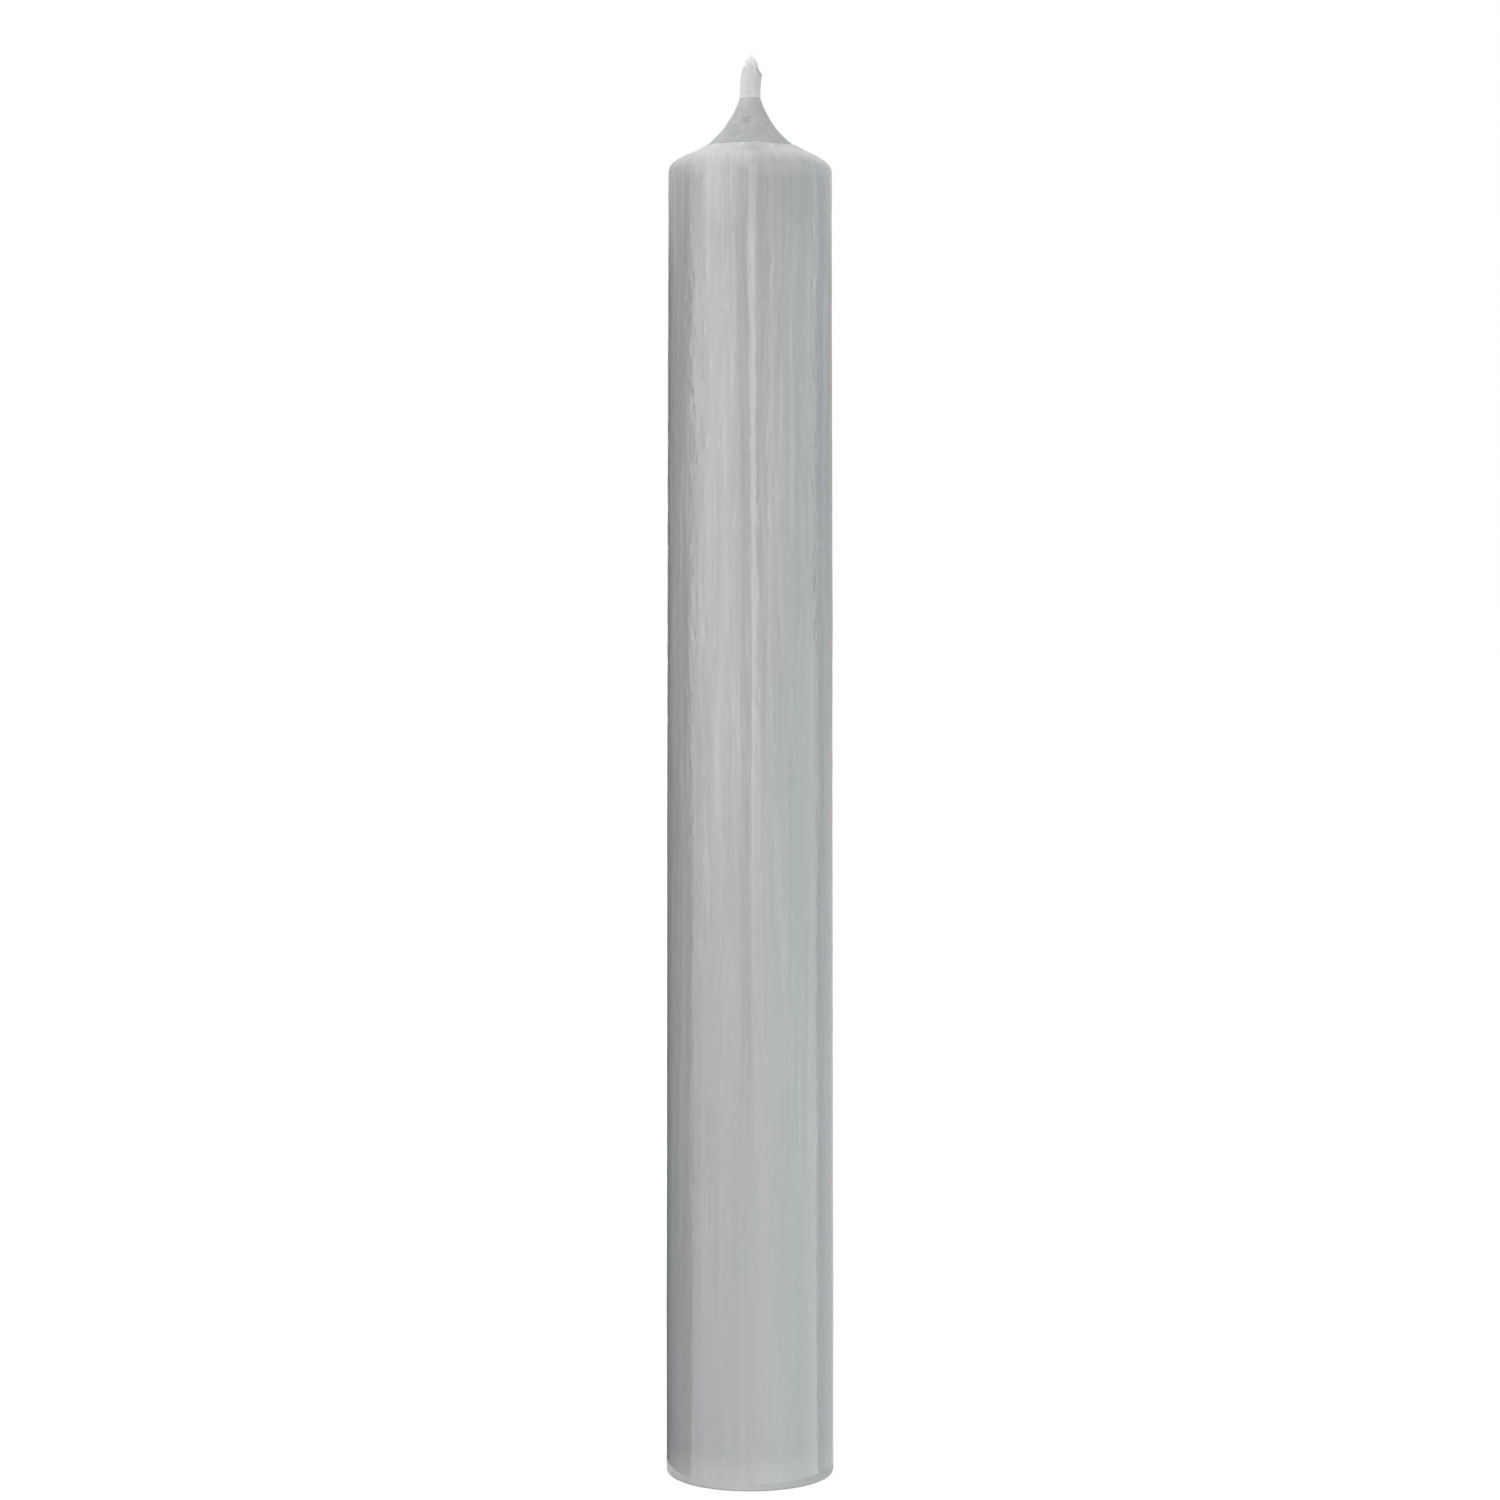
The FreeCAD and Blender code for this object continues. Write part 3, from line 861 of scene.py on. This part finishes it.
def newFinish(name, inputs=None, kind="ShaderNodeBsdfPrincipled"):
    # a material with its shader; also returns the node tree and the place on the piece
    finish = bpy.data.materials.new(name)
    finish.use_nodes = True
    tree = finish.node_tree
    tree.nodes.clear()
    shader = addNode(tree, kind, inputs)
    addNode(tree, "ShaderNodeOutputMaterial", {"Surface": shader.outputs[0]})
    return finish, tree, shader, addNode(tree, "ShaderNodeTexCoord").outputs["Object"]


def stretchedNoise(tree, coords, grain, detail=2.0, roughness=0.5, shift=(0, 0, 0)):
    # noise whose grain is so many metres along x, y and z
    scale = [1 / size for size in grain]
    mapping = addNode(tree, "ShaderNodeMapping", {"Vector": coords, "Scale": scale, "Location": shift})
    noise = addNode(tree, "ShaderNodeTexNoise", {
        "Vector": mapping.outputs["Vector"], "Scale": 1.0, "Detail": detail, "Roughness": roughness,
    })
    return noise.outputs["Fac"]


def spread(tree, value, low, high, toLow, toHigh):
    return addNode(tree, "ShaderNodeMapRange", {
        "Value": value, "From Min": low, "From Max": high, "To Min": toLow, "To Max": toHigh,
    }).outputs["Result"]


def blendColours(tree, factor, first, second):
    node = addNode(tree, "ShaderNodeMix", {0: factor}, data_type="RGBA")
    for number, colour in ((6, first), (7, second)):
        feed(tree, node.inputs[number], colour if isinstance(colour, bpy.types.NodeSocket) else (*colour, 1))
    return node.outputs[2]


def mathNode(tree, first, second, operation="MULTIPLY"):
    return addNode(tree, "ShaderNodeMath", {0: first, 1: second}, operation=operation).outputs[0]


def vectorNode(tree, operation, inputs):
    return addNode(tree, "ShaderNodeVectorMath", inputs, operation=operation).outputs


def placeAlong(tree, coords, axis):
    return addNode(tree, "ShaderNodeSeparateXYZ", {0: coords}).outputs[axis]


def bumpNode(tree, height, strength, distance, normal=None):
    bump = addNode(tree, "ShaderNodeBump", {"Height": height, "Strength": strength, "Distance": distance})
    if normal:
        tree.links.new(normal, bump.inputs["Normal"])
    return bump.outputs["Normal"]


# the same dyed wax twice: under its glossy outer coat, and bare on the head
coatedWax = {
    "plain": (0.372, 0.376, 0.378),
    "dark": (0.335, 0.340, 0.345),
    "pale": (0.455, 0.462, 0.465),
    "greenish": (0.362, 0.382, 0.374),
    "purplish": (0.375, 0.370, 0.385),
    "frostAndTopLight": (0.635, 0.662, 0.653),
    "rim": (0.76, 0.785, 0.775),
    "footPaintedLight": (0.72, 0.73, 0.74),
    "roughness": 0.36,
    "coatRoughness": 0.10,
    "coatIor": 1.6,
}
bareWax = {
    "plain": (0.465, 0.463, 0.462),
    "pale": (0.560, 0.558, 0.556),
    "greenish": (0.460, 0.504, 0.487),
    "paintedCreaseShade": (0.33, 0.35, 0.34),
    "roughness": 0.5,
}
waxDepth = {
    "IOR": 1.45,
    "Subsurface Weight": 0.22,
    "Subsurface Radius": (1.0, 1.0, 1.0),
    "Subsurface Scale": 0.9 * mm,
}


def roundTheCandle(tree, coords, radius):
    # the place on a plain cylinder that lies straight outwards from each point
    height = placeAlong(tree, coords, "Z")
    level = vectorNode(tree, "MULTIPLY", {0: coords, 1: (1, 1, 0)})[0]
    outward = vectorNode(tree, "NORMALIZE", {0: level})[0]
    wide = vectorNode(tree, "SCALE", {0: outward, "Scale": radius})[0]
    raised = addNode(tree, "ShaderNodeCombineXYZ", {"Z": height}).outputs[0]
    whole = vectorNode(tree, "ADD", {0: wide, 1: raised})[0]
    return whole, height, placeAlong(tree, coords, "X")


def nearLine(tree, sideways, middle, near, far):
    # 1 within near of a line along the candle at x = middle, 0 beyond far
    gap = mathNode(tree, mathNode(tree, sideways, -middle, "ADD"), 0.0, "ABSOLUTE")
    return spread(tree, gap, near, far, 1, 0)


def waxBump(tree, coords, lively):
    # fine lines along the candle with short ripples over them
    scratch = stretchedNoise(tree, coords, (0.32 * mm, 0.32 * mm, 12 * mm), 2.0, 0.55, (2, 8, 4))
    squiggle = stretchedNoise(tree, coords, (0.75 * mm, 0.75 * mm, 1.7 * mm), 2.0, 0.5, (1, 4, 9))
    lines = bumpNode(tree, scratch, 0.5, 0.012 * mm)
    return bumpNode(tree, squiggle, lively, 0.085 * mm, lines)


def makeCoatedWax(c, column):
    finish, tree, shader, coords = newFinish("coatedWax", {
        **waxDepth, "Coat Roughness": c["coatRoughness"], "Coat IOR": c["coatIor"],
    })
    coords, height, sideways = roundTheCandle(tree, coords, column["topRadius"])
    lively = spread(tree, height, 12 * mm, 98 * mm, 0.32, 1.0)

    broad = stretchedNoise(tree, coords, (5 * mm, 5 * mm, 45 * mm), 1.0)
    tint = blendColours(tree, spread(tree, broad, 0.42, 0.58, 0, 1), c["greenish"], c["purplish"])
    colour = blendColours(tree, 0.45, c["plain"], tint)
    band = stretchedNoise(tree, coords, (0.9 * mm, 0.9 * mm, 26 * mm), 3.0, 0.6, (5, 2, 8))
    dark = mathNode(tree, spread(tree, band, 0.36, 0.52, 1, 0), lively)
    colour = blendColours(tree, dark, colour, c["dark"])
    streak = stretchedNoise(tree, coords, (1.1 * mm, 1.1 * mm, 24 * mm), 3.0, 0.62, (3, 1, 2))
    pale = mathNode(tree, spread(tree, streak, 0.50, 0.70, 0, 0.9), lively)
    colour = blendColours(tree, pale, colour, c["pale"])
    smear = stretchedNoise(tree, coords, (0.55 * mm, 0.55 * mm, 3.4 * mm), 2.0, 0.6, (9, 6, 3))
    smudge = mathNode(tree, spread(tree, smear, 0.58, 0.70, 0, 0.55), lively)
    colour = blendColours(tree, smudge, colour, c["pale"])

    # the coat runs thin and pale over the shoulder, and left of the middle a little way down the side; the pale
    # is partly frosted wax and partly painted light, from above on the shoulder and from the left down the side
    shoulder = column["columnHeight"]
    patch = stretchedNoise(tree, coords, (1.7 * mm, 1.7 * mm, 9 * mm), 2.0, 0.5, (2, 5, 1))
    frostAndTopLightMask = spread(tree, height, shoulder - 1.6 * mm, shoulder + 1.9 * mm, 0, 1)
    aside = nearLine(tree, sideways, -3.0 * mm, 1.6 * mm, 5.0 * mm)
    patches = spread(tree, patch, 0.40, 0.58, 0, 0.30)
    share = mathNode(tree, spread(tree, aside, 0, 1, 0.62, 0.95), patches, "ADD")
    share = mathNode(tree, share, spread(tree, sideways, -8.5 * mm, -6.0 * mm, 0.6, 1))
    run = spread(tree, height, shoulder - 8 * mm, shoulder + 0.5 * mm, 0, 0.62)
    run = mathNode(tree, run, spread(tree, patch, 0.35, 0.6, 0.4, 1))
    leftRunAndLight = mathNode(tree, run, nearLine(tree, sideways, -3.1 * mm, 2.1 * mm, 3.2 * mm))
    pale = mathNode(tree, mathNode(tree, frostAndTopLightMask, share), leftRunAndLight, "MAXIMUM")
    colour = blendColours(tree, pale, colour, c["frostAndTopLight"])
    # lumps along the coat's edge painted pale, partly pale wax and partly painted glints on them; then painted
    # light towards the foot, faint on the left
    lump = stretchedNoise(tree, coords, (1.7 * mm, 1.7 * mm, 1.1 * mm), 2.0, 0.6, (3, 9, 2))
    rim = column["headFoot"][1]
    rimGlintBand = spread(tree, height, rim - 0.8 * mm, rim - 0.2 * mm, 0, 1)
    lumps = mathNode(tree, spread(tree, lump, 0.54, 0.59, 0, 0.85), rimGlintBand)
    colour = blendColours(tree, lumps, colour, c["rim"])
    # painted light: paler towards the foot and over its rounded edge, standing in for the light that the shade
    # near the floor takes away; faint on the left
    colour = blendColours(tree, spread(tree, height, 0.2 * mm, 4.5 * mm, 0.45, 0), colour, c["pale"])
    footLightSide = spread(tree, sideways, -8.5 * mm, -1.0 * mm, 0.05, 1)
    footPaintedLight = mathNode(tree, spread(tree, height, 0.3 * mm, 1.2 * mm, 0.70, 0), footLightSide)
    footPaintedLight = mathNode(tree, footPaintedLight, spread(tree, height, 0.8 * mm, 5.0 * mm, 0.20, 0), "ADD")
    colour = blendColours(tree, footPaintedLight, colour, c["footPaintedLight"])
    tree.links.new(colour, shader.inputs["Base Color"])
    offFoot = spread(tree, height, 0.15 * mm, 0.9 * mm, 0.2, 1)
    dulled = mathNode(tree, spread(tree, frostAndTopLightMask, 0, 1, 1.0, 0.25), offFoot)
    tree.links.new(dulled, shader.inputs["Coat Weight"])

    rubbed = stretchedNoise(tree, coords, (0.9 * mm, 0.9 * mm, 20 * mm), 3.0, 0.6, (7, 5, 1))
    roughness = spread(tree, rubbed, 0.3, 0.7, c["roughness"] - 0.08, c["roughness"] + 0.10)
    tree.links.new(roughness, shader.inputs["Roughness"])
    middle = nearLine(tree, sideways, 0, 1.5 * mm, 5.5 * mm)
    normal = waxBump(tree, coords, mathNode(tree, lively, spread(tree, middle, 0, 1, 1, 0.3)))
    tree.links.new(normal, shader.inputs["Normal"])
    tree.links.new(normal, shader.inputs["Coat Normal"])
    return finish


def makeBareWax(c, column):
    finish, tree, shader, coords = newFinish("bareWax", waxDepth)
    height = placeAlong(tree, coords, "Z")
    foot = column["headFoot"][1]
    upwards = spread(tree, height, foot, foot + 4 * mm, 0.9, 0.0)
    colour = blendColours(tree, upwards, c["plain"], c["greenish"])
    cloud = stretchedNoise(tree, coords, (1.5 * mm, 1.5 * mm, 1.1 * mm), 3.0, 0.55, (2, 3, 7))
    colour = blendColours(tree, spread(tree, cloud, 0.46, 0.62, 0, 0.8), colour, c["pale"])
    atNeck = spread(tree, height, neckHeight - 2.6 * mm, neckHeight - 0.5 * mm, 0, 0.75)
    colour = blendColours(tree, atNeck, colour, c["pale"])
    # painted shade: a thin dark line where the outer coat ends, standing in for the shadow in the gap between
    # the coat's edge and the head
    uneven = stretchedNoise(tree, coords, (1.2 * mm, 1.2 * mm, 1.2 * mm), 2.0, 0.5, (6, 1, 1))
    shadeLineTop = mathNode(tree, height, spread(tree, uneven, 0.3, 0.7, -0.09 * mm, 0.09 * mm), "ADD")
    line = spread(tree, shadeLineTop, foot + 0.13 * mm, foot + 0.24 * mm, 0.75, 0.0)
    colour = blendColours(tree, line, colour, c["paintedCreaseShade"])
    tree.links.new(colour, shader.inputs["Base Color"])

    mottle = stretchedNoise(tree, coords, (0.6 * mm, 0.6 * mm, 0.6 * mm), 2.0, 0.5, (8, 2, 5))
    roughness = spread(tree, mottle, 0.3, 0.7, c["roughness"] - 0.06, c["roughness"] + 0.10)
    tree.links.new(roughness, shader.inputs["Roughness"])
    tree.links.new(bumpNode(tree, mottle, 0.5, 0.03 * mm), shader.inputs["Normal"])
    return finish


primerWax = {
    "plain": (0.675, 0.675, 0.675),
    "pale": (0.755, 0.755, 0.75),
    "collarHighlight": (0.83, 0.83, 0.825),
    "snipFaceShade": (0.42, 0.42, 0.42),
}


def makePrimerWax(c):
    finish, tree, shader, coords = newFinish("primerWax", {
        "IOR": 1.45,
        "Roughness": 0.42,
        "Subsurface Weight": 0.3,
        "Subsurface Radius": (1.0, 1.0, 1.0),
        "Subsurface Scale": 0.4 * mm,
        "Specular IOR Level": 0.3,
    })
    rib = stretchedNoise(tree, coords, (0.5 * mm, 0.5 * mm, 3.0 * mm), 2.0)
    colour = blendColours(tree, spread(tree, rib, 0.35, 0.65, 0, 1), c["plain"], c["pale"])
    height = placeAlong(tree, coords, "Z")
    # painted highlight: a pale band round the sleeve's foot, standing in for the light caught by the bead there
    collarHighlight = spread(tree, height, neckHeight + 0.14 * mm, neckHeight + 0.26 * mm, 1, 0)
    colour = blendColours(tree, collarHighlight, colour, c["collarHighlight"])
    # painted shade: the wax is painted darker along the snipped corner, standing in for the shade on the cut
    # face, which faces up and to the right
    upper, outward = snipPlane(wickSleeve, wickSleeve["snipWidth"], wickSleeve["snipHeight"], 1)
    beyond = vectorNode(tree, "DOT_PRODUCT", {0: coords, 1: outward})["Value"]
    edge = upper.dot(outward)
    cut = spread(tree, beyond, edge - 0.24 * mm, edge - 0.10 * mm, 0, 0.85)
    colour = blendColours(tree, cut, colour, c["snipFaceShade"])
    tree.links.new(colour, shader.inputs["Base Color"])
    grain = stretchedNoise(tree, coords, (0.16 * mm, 0.16 * mm, 0.5 * mm), 2.0)
    tree.links.new(bumpNode(tree, grain, 0.4, 0.02 * mm), shader.inputs["Normal"])
    return finish


wickCotton = {
    "plain": (0.955, 0.953, 0.948),
    "pale": (0.985, 0.983, 0.98),
}


def makeWickCotton(c):
    finish, tree, shader, coords = newFinish("wickCotton", {
        "Roughness": 0.9,
        "Specular IOR Level": 0.2,
        "Sheen Weight": 1.0,
        "Sheen Roughness": 0.5,
    })
    thread = stretchedNoise(tree, coords, (0.09 * mm, 0.09 * mm, 0.6 * mm), 2.0)
    colour = blendColours(tree, spread(tree, thread, 0.35, 0.65, 0, 1), c["plain"], c["pale"])
    tree.links.new(colour, shader.inputs["Base Color"])
    tree.links.new(bumpNode(tree, thread, 0.5, 0.02 * mm), shader.inputs["Normal"])
    return finish


def finishPiece(piece, finish, node):
    piece.data.materials.clear()
    piece.data.materials.append(finish)
    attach(piece, "root")
    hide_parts(node)


finishPiece(column, makeCoatedWax(coatedWax, waxColumn), "wax_body")
column.data.materials.append(makeBareWax(bareWax, waxColumn))
bareRadius = waxColumn["headFoot"][0] + waxColumn["bareMargin"]
bareHeight = waxColumn["headFoot"][1] - waxColumn["bareDrop"]
for face in column.data.polygons:
    if face.center.z > bareHeight and math.hypot(face.center.x, face.center.y) < bareRadius:
        face.material_index = 1
finishPiece(sleeve, makePrimerWax(primerWax), "wick_wax_sleeve")
finishPiece(wick, makeWickCotton(wickCotton), "wick")
print("finishes set")


# Floor, studio light and white surroundings

studio = {
    "floorSize": 6.0,
    "ambient": 0.60,
    "floorColour": (0.80, 0.80, 0.80),
    # each softbox: degrees to the right of the camera's side, degrees up, metres away, size, watts
    "softboxes": {
        "frontSoftbox": (-10, 40, 1.1, (1.2, 1.2), 1.9),
        "leftSoftbox": (-65, 20, 1.0, (0.8, 0.8), 2.9),
        "rightSoftbox": (70, 25, 1.0, (0.8, 0.8), 0.6),
    },
}


def seenRay(tree):
    # 1 where the camera looks straight at a surface, or sees it in gloss or through glass
    path = addNode(tree, "ShaderNodeLightPath")
    seen = mathNode(tree, path.outputs["Is Camera Ray"], path.outputs["Is Glossy Ray"], "MAXIMUM")
    return mathNode(tree, seen, path.outputs["Is Transmission Ray"], "MAXIMUM")


def makeWorld(c):
    world = bpy.data.worlds.new("paleStudio")
    world.use_nodes = True
    tree = world.node_tree
    tree.nodes.clear()
    room, white = (
        addNode(tree, "ShaderNodeBackground", {"Color": (1, 1, 1, 1), "Strength": strength}).outputs[0]
        for strength in (c["ambient"], 1.0)
    )
    mix = addNode(tree, "ShaderNodeMixShader", {0: seenRay(tree), 1: room, 2: white})
    addNode(tree, "ShaderNodeOutputWorld", {"Surface": mix.outputs[0]})
    bpy.context.scene.world = world


def makeFloor(c):
    deselectAll()
    bpy.ops.mesh.primitive_plane_add(size=c["floorSize"], location=(0, 0, 0))
    floor = nameIt("paleFloor")
    finish, tree, shader, coords = newFinish("paleFloor", kind="ShaderNodeAddShader")
    distance = vectorNode(tree, "LENGTH", {0: coords})["Value"]
    fill = spread(tree, distance, 0.05, 0.6, 0.55, 0.8)
    close = spread(tree, distance, 12 * mm, 16 * mm, 1, 0)
    glossy = addNode(tree, "ShaderNodeLightPath").outputs["Is Glossy Ray"]
    atFoot = spread(tree, mathNode(tree, close, glossy), 0, 1, 1, 0)
    strength = mathNode(tree, mathNode(tree, seenRay(tree), fill), atFoot)
    glow = addNode(tree, "ShaderNodeEmission", {"Strength": strength})
    matte = addNode(tree, "ShaderNodeBsdfDiffuse", {"Color": (*c["floorColour"], 1)})
    feed(tree, shader.inputs[0], glow.outputs[0])
    feed(tree, shader.inputs[1], matte.outputs[0])
    floor.data.materials.append(finish)


def addSoftbox(name, turn, lift, distance, size, power):
    # a soft rectangular lamp that faces the candle's middle
    deselectAll()
    aim = Vector((0, 0, neckHeight / 2))
    level = math.cos(math.radians(lift)) * distance
    place = aim + Vector((
        level * math.sin(math.radians(turn)),
        -level * math.cos(math.radians(turn)),
        distance * math.sin(math.radians(lift)),
    ))
    bpy.ops.object.light_add(type="AREA", location=place)
    lamp = bpy.context.object
    lamp.name = name
    lamp.rotation_euler = (aim - place).to_track_quat("-Z", "Y").to_euler()
    lamp.data.shape = "RECTANGLE"
    lamp.data.size, lamp.data.size_y = size
    lamp.data.energy = power


# What the gloss mirrors, round the candle. A panel reaches to so many degrees to the right of the
# camera's side, above and lower down; then come its light above and lower down, and the heights
# between which one turns into the other
screen = {
    "radius": 30 * mm,
    "top": 188 * mm,
    "fadeFrom": 157 * mm,
    "rings": 40,
    "bendFrom": 115 * mm,
    "bendTo": 150 * mm,
    "cupHeight": 9 * mm,
    "cupFootRadius": 13.5 * mm,
    "cupRings": 12,
    "sides": 720,
    "panels": (
        ("leftBackGlow", (-150.0, -150.0), (1.2, 1.2, 1.2), (1.2, 1.2, 1.2), 50 * mm, 135 * mm),
        ("leftDark", (-76.5, -73.0), (0.10, 0.10, 0.10), (0.05, 0.05, 0.06), 50 * mm, 135 * mm),
        ("leftWarm", (-56.1, -56.1), (1.50, 1.48, 1.46), (1.08, 1.08, 1.12), 50 * mm, 135 * mm),
        ("leftWhite", (-32.0, -32.0), (2.20, 2.25, 2.31), (1.45, 1.50, 1.56), 45 * mm, 125 * mm),
        ("nextToWhite", (-15.8, -9.8), (2.26, 2.31, 2.37), (1.72, 1.77, 1.83), 30 * mm, 105 * mm),
        ("besideLens", (-0.2, 2.0), (1.24, 1.28, 1.36), (1.90, 1.98, 2.04), 36 * mm, 62 * mm),
        ("narrowGap", (7.4, 8.8), (3.60, 3.65, 3.70), (2.05, 2.13, 2.19), 50 * mm, 106 * mm),
        ("rightShade", (21.2, 21.2), (1.28, 1.30, 1.36), (2.36, 2.46, 2.51), 72 * mm, 118 * mm),
        ("rightSlit", (26.0, 26.0), (2.90, 2.90, 2.95), (2.34, 2.46, 2.50), 92 * mm, 118 * mm),
        ("rightGrey", (50.3, 50.3), (1.90, 1.93, 1.98), (2.32, 2.52, 2.52), 50 * mm, 135 * mm),
        ("rightGreen", (89.1, 89.1), (1.74, 1.98, 1.94), (2.05, 2.32, 2.30), 50 * mm, 135 * mm),
        ("rightBack", (118.0, 118.0), (0.78, 0.84, 0.88), (0.86, 0.94, 0.96), 50 * mm, 135 * mm),
        ("rightRim", (180.0, 180.0), (0.54, 0.52, 0.53), (0.74, 0.73, 0.75), 50 * mm, 135 * mm),
    ),
}


def mirroredTurn(turn, radius):
    # where a ray from the lens, mirrored by the candle's side at this turn, meets the screen
    side = waxColumn["topRadius"]
    lens = -cameraSettings["place"][1]
    leaving = 2 * turn + math.atan2(side * math.sin(turn), lens - side * math.cos(turn))
    return leaving - math.asin(side / radius * math.sin(leaving - turn))


def turnOnTube(c, place):
    # a point of the narrower cup belongs to the panel that its ray would meet on the tube
    target = math.atan2(place.x, -place.y)
    radius = max(math.hypot(place.x, place.y), waxColumn["footRadius"])
    if radius > c["radius"] - 0.1 * mm:
        return math.degrees(target)
    low, high = math.radians(-89.9), math.radians(89.9)
    for _ in range(30):
        middle = (low + high) / 2
        if mirroredTurn(middle, radius) < target:
            low = middle
        else:
            high = middle
    return math.degrees(mirroredTurn(low, c["radius"]))


def makeScreen(c):
    deselectAll()
    bpy.ops.mesh.primitive_circle_add(
        vertices=c["sides"], radius=c["radius"], fill_type="NOTHING", location=(0, 0, c["top"])
    )
    tube = applyPlace(nameIt("studioScreen"))
    editAll(tube)
    drop = (c["top"] - c["cupHeight"]) / c["rings"]
    for _ in range(c["rings"]):
        bpy.ops.mesh.extrude_region_move(TRANSFORM_OT_translate={"value": (0, 0, -drop)})
    drop = (c["cupHeight"] - 0.1 * mm) / c["cupRings"]
    narrowing = (c["radius"] - c["cupFootRadius"]) / c["cupRings"]
    for ring in range(c["cupRings"]):
        before = c["radius"] - narrowing * ring
        bpy.ops.mesh.extrude_region_move(TRANSFORM_OT_translate={"value": (0, 0, -drop)})
        scale = (before - narrowing) / before
        bpy.ops.transform.resize(value=(scale, scale, 1), center_override=(0, 0, 0))
    bpy.ops.object.mode_set(mode="OBJECT")
    limits = []
    for name, upTo, above, nearFoot, low, high in c["panels"]:
        brightest = max(*above, *nearFoot)
        finish, tree, glow, coords = newFinish(name, {"Strength": brightest}, "ShaderNodeEmission")
        height = placeAlong(tree, coords, "Z")
        level = spread(tree, height, low, high, 0, 1)
        light = [[value / brightest for value in colour] for colour in (nearFoot, above, (1, 1, 1))]
        fade = spread(tree, height, c["fadeFrom"], c["top"], 0, 1)
        seen = blendColours(tree, fade, blendColours(tree, level, light[0], light[1]), light[2])
        tree.links.new(seen, glow.inputs["Color"])
        tube.data.materials.append(finish)
        limits.append(upTo)
    for face in tube.data.polygons:
        turn = turnOnTube(c, face.center)
        above = min(max((face.center.z - c["bendFrom"]) / (c["bendTo"] - c["bendFrom"]), 0), 1)
        face.material_index = next(
            number for number, (high, low) in enumerate(limits) if turn <= low + (high - low) * above
        )
    tube.visible_camera = False
    tube.visible_diffuse = False
    tube.visible_shadow = False
    tube.visible_transmission = False
    tube.visible_volume_scatter = False


makeWorld(studio)
makeFloor(studio)
for name, settings in studio["softboxes"].items():
    addSoftbox(name, *settings)
makeScreen(screen)
bpy.context.scene.view_settings.view_transform = "Standard"
print("studio set")
